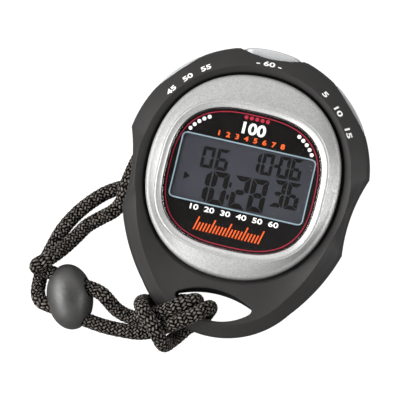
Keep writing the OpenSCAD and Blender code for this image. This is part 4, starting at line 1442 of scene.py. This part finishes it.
# The middle of the watch, and how far right of and above the middle of the picture it sits
WATCH_MIDDLE = Vector((0, 0.55, 9)) * MM
PICTURE_SHIFT = (10.98 * MM, 2.4 * MM)
FLOOR_DROP = 0.1
# Place, width and height in metres, and power in watts
SOFT_BOXES = {
    "left": ((-0.5, 0.0, 0.42), 0.5, 0.5, 4.4),
    "right": ((0.56, 0.03, 0.22), 0.3, 0.4, 1.5),
    "low": ((-0.42, -0.38, 0.46), 0.6, 0.4, 2.9),
    "high": ((0.0, 0.55, 0.42), 0.6, 0.3, 0.65),
}


class STOPWATCH_OT_stage(bpy.types.Operator):
    """Sets the pale floor, the soft lights and the camera"""
    bl_idname = "stopwatch.stage"
    bl_label = "Studio"

    def execute(self, context):
        scene = context.scene
        stage = scene.stopwatch_stage
        scene.view_settings.view_transform = "Standard"
        self.camera(scene, stage)
        self.floor(stage)
        self.lights(scene)
        return {"FINISHED"}

    def camera(self, scene, stage):
        """Looks down on the display from a little right and low, turned as the picture is."""
        away = Vector((math.sin(stage.side), -math.sin(stage.low), 0))
        away.z = math.sqrt(1 - away.length_squared)
        right = Vector((0, 1, 0)).cross(away).normalized()
        up = away.cross(right)
        turned = math.cos(stage.roll) * right - math.sin(stage.roll) * up
        upright = math.sin(stage.roll) * right + math.cos(stage.roll) * up
        aim = WATCH_MIDDLE - PICTURE_SHIFT[0] * turned - PICTURE_SHIFT[1] * upright
        place = WATCH_MIDDLE + stage.distance * away
        back = (place - aim).normalized()
        turned = (turned - back * turned.dot(back)).normalized()
        data = bpy.data.cameras.new("camera")
        data.lens = stage.lens
        data.sensor_width = 36
        data.clip_start = 0.01
        camera = bpy.data.objects.new("camera", data)
        camera.matrix_world = Matrix((turned, back.cross(turned), back)).transposed().to_4x4()
        camera.location = place
        scene.collection.objects.link(camera)
        scene.camera = camera

    def floor(self, stage):
        """A wide pale floor that looks lit from within, so that the watch casts next to no shadow."""
        bm = bmesh.new()
        bmesh.ops.create_grid(bm, x_segments=1, y_segments=1, size=3)
        floor = mesh_object("floor", bm)
        floor.location.z = -FLOOR_DROP * MM
        material, tree = new_material("white_studio_card")
        glow = add_node(tree, "ShaderNodeLightPath").outputs["Is Camera Ray"]
        add_surface(tree, {"Base Color": shades_of(stage.floor_colour, 0.14)[0], "Roughness": 0.8,
                           "Emission Color": rgba(stage.floor_colour), "Emission Strength": glow})
        floor.data.materials.append(material)

    def lights(self, scene):
        """Soft boxes on both sides of the watch, below and above it, and a dim sky."""
        world = bpy.data.worlds.new("studio")
        world.use_nodes = True
        tree = world.node_tree
        way = add_node(tree, "ShaderNodeTexCoord").outputs["Generated"]
        axes = add_node(tree, "ShaderNodeSeparateXYZ", {"Vector": way}).outputs
        # A dark ceiling round the camera keeps the lens black, and the sky is dimmer on the right
        ceiling, beside = [
            add_node(tree, "ShaderNodeMapRange", {"Value": axes[axis], "From Min": start, "From Max": end,
                                                  "To Min": low, "To Max": high})
            for axis, start, end, low, high in (("Z", 0.8, 0.96, 0.55, 0.05), ("X", -0.3, 0.6, 1.0, 0.8))]
        level = add_node(tree, "ShaderNodeMath", {0: ceiling.outputs["Result"], 1: beside.outputs["Result"]},
                         operation="MULTIPLY")
        tree.links.new(level.outputs[0], tree.nodes["Background"].inputs["Strength"])
        tree.nodes["Background"].inputs["Color"].default_value = (1, 1, 1, 1)
        scene.world = world
        for name, (place, wide, tall, power) in SOFT_BOXES.items():
            data = bpy.data.lights.new("soft_box_" + name, "AREA")
            data.shape = "RECTANGLE"
            data.size = wide
            data.size_y = tall
            data.energy = power
            light = bpy.data.objects.new("soft_box_" + name, data)
            light.location = place
            light.rotation_euler = (-Vector(place)).to_track_quat("-Z", "Y").to_euler()
            light.visible_camera = False
            scene.collection.objects.link(light)


class STOPWATCH_PT_sidebar(bpy.types.Panel):
    """Lists the pieces of the stopwatch and their settings"""
    bl_label = "Stopwatch"
    bl_idname = "STOPWATCH_PT_sidebar"
    bl_space_type = "VIEW_3D"
    bl_region_type = "UI"
    bl_category = "Stopwatch"

    def draw(self, context):
        for operator in OPERATORS:
            self.layout.operator(operator.bl_idname)
        for group in GROUPS:
            settings = getattr(context.scene, group)
            box = self.layout.box()
            for name in settings.__annotations__:
                box.prop(settings, name)


OPERATORS = (STOPWATCH_OT_stage, STOPWATCH_OT_cord_lock, STOPWATCH_OT_cord, STOPWATCH_OT_case,
             STOPWATCH_OT_caps, STOPWATCH_OT_springs, STOPWATCH_OT_bezel, STOPWATCH_OT_lens,
             STOPWATCH_OT_display, STOPWATCH_OT_labels, STOPWATCH_OT_back, STOPWATCH_OT_inner)
GROUPS = {
    "stopwatch_case": STOPWATCH_PG_case,
    "stopwatch_face": STOPWATCH_PG_face,
    "stopwatch_lanyard": STOPWATCH_PG_lanyard,
    "stopwatch_stage": STOPWATCH_PG_stage,
}
CLASSES = (*GROUPS.values(), *OPERATORS, STOPWATCH_PT_sidebar)


def register():
    for cls in CLASSES:
        bpy.utils.register_class(cls)
    for name, cls in GROUPS.items():
        setattr(bpy.types.Scene, name, PointerProperty(type=cls))


def unregister():
    for name in GROUPS:
        delattr(bpy.types.Scene, name)
    for cls in reversed(CLASSES):
        bpy.utils.unregister_class(cls)


def main():
    register()
    for operator in OPERATORS:
        group, name = operator.bl_idname.split(".")
        getattr(getattr(bpy.ops, group), name)()


if __name__ == "__main__":
    main()
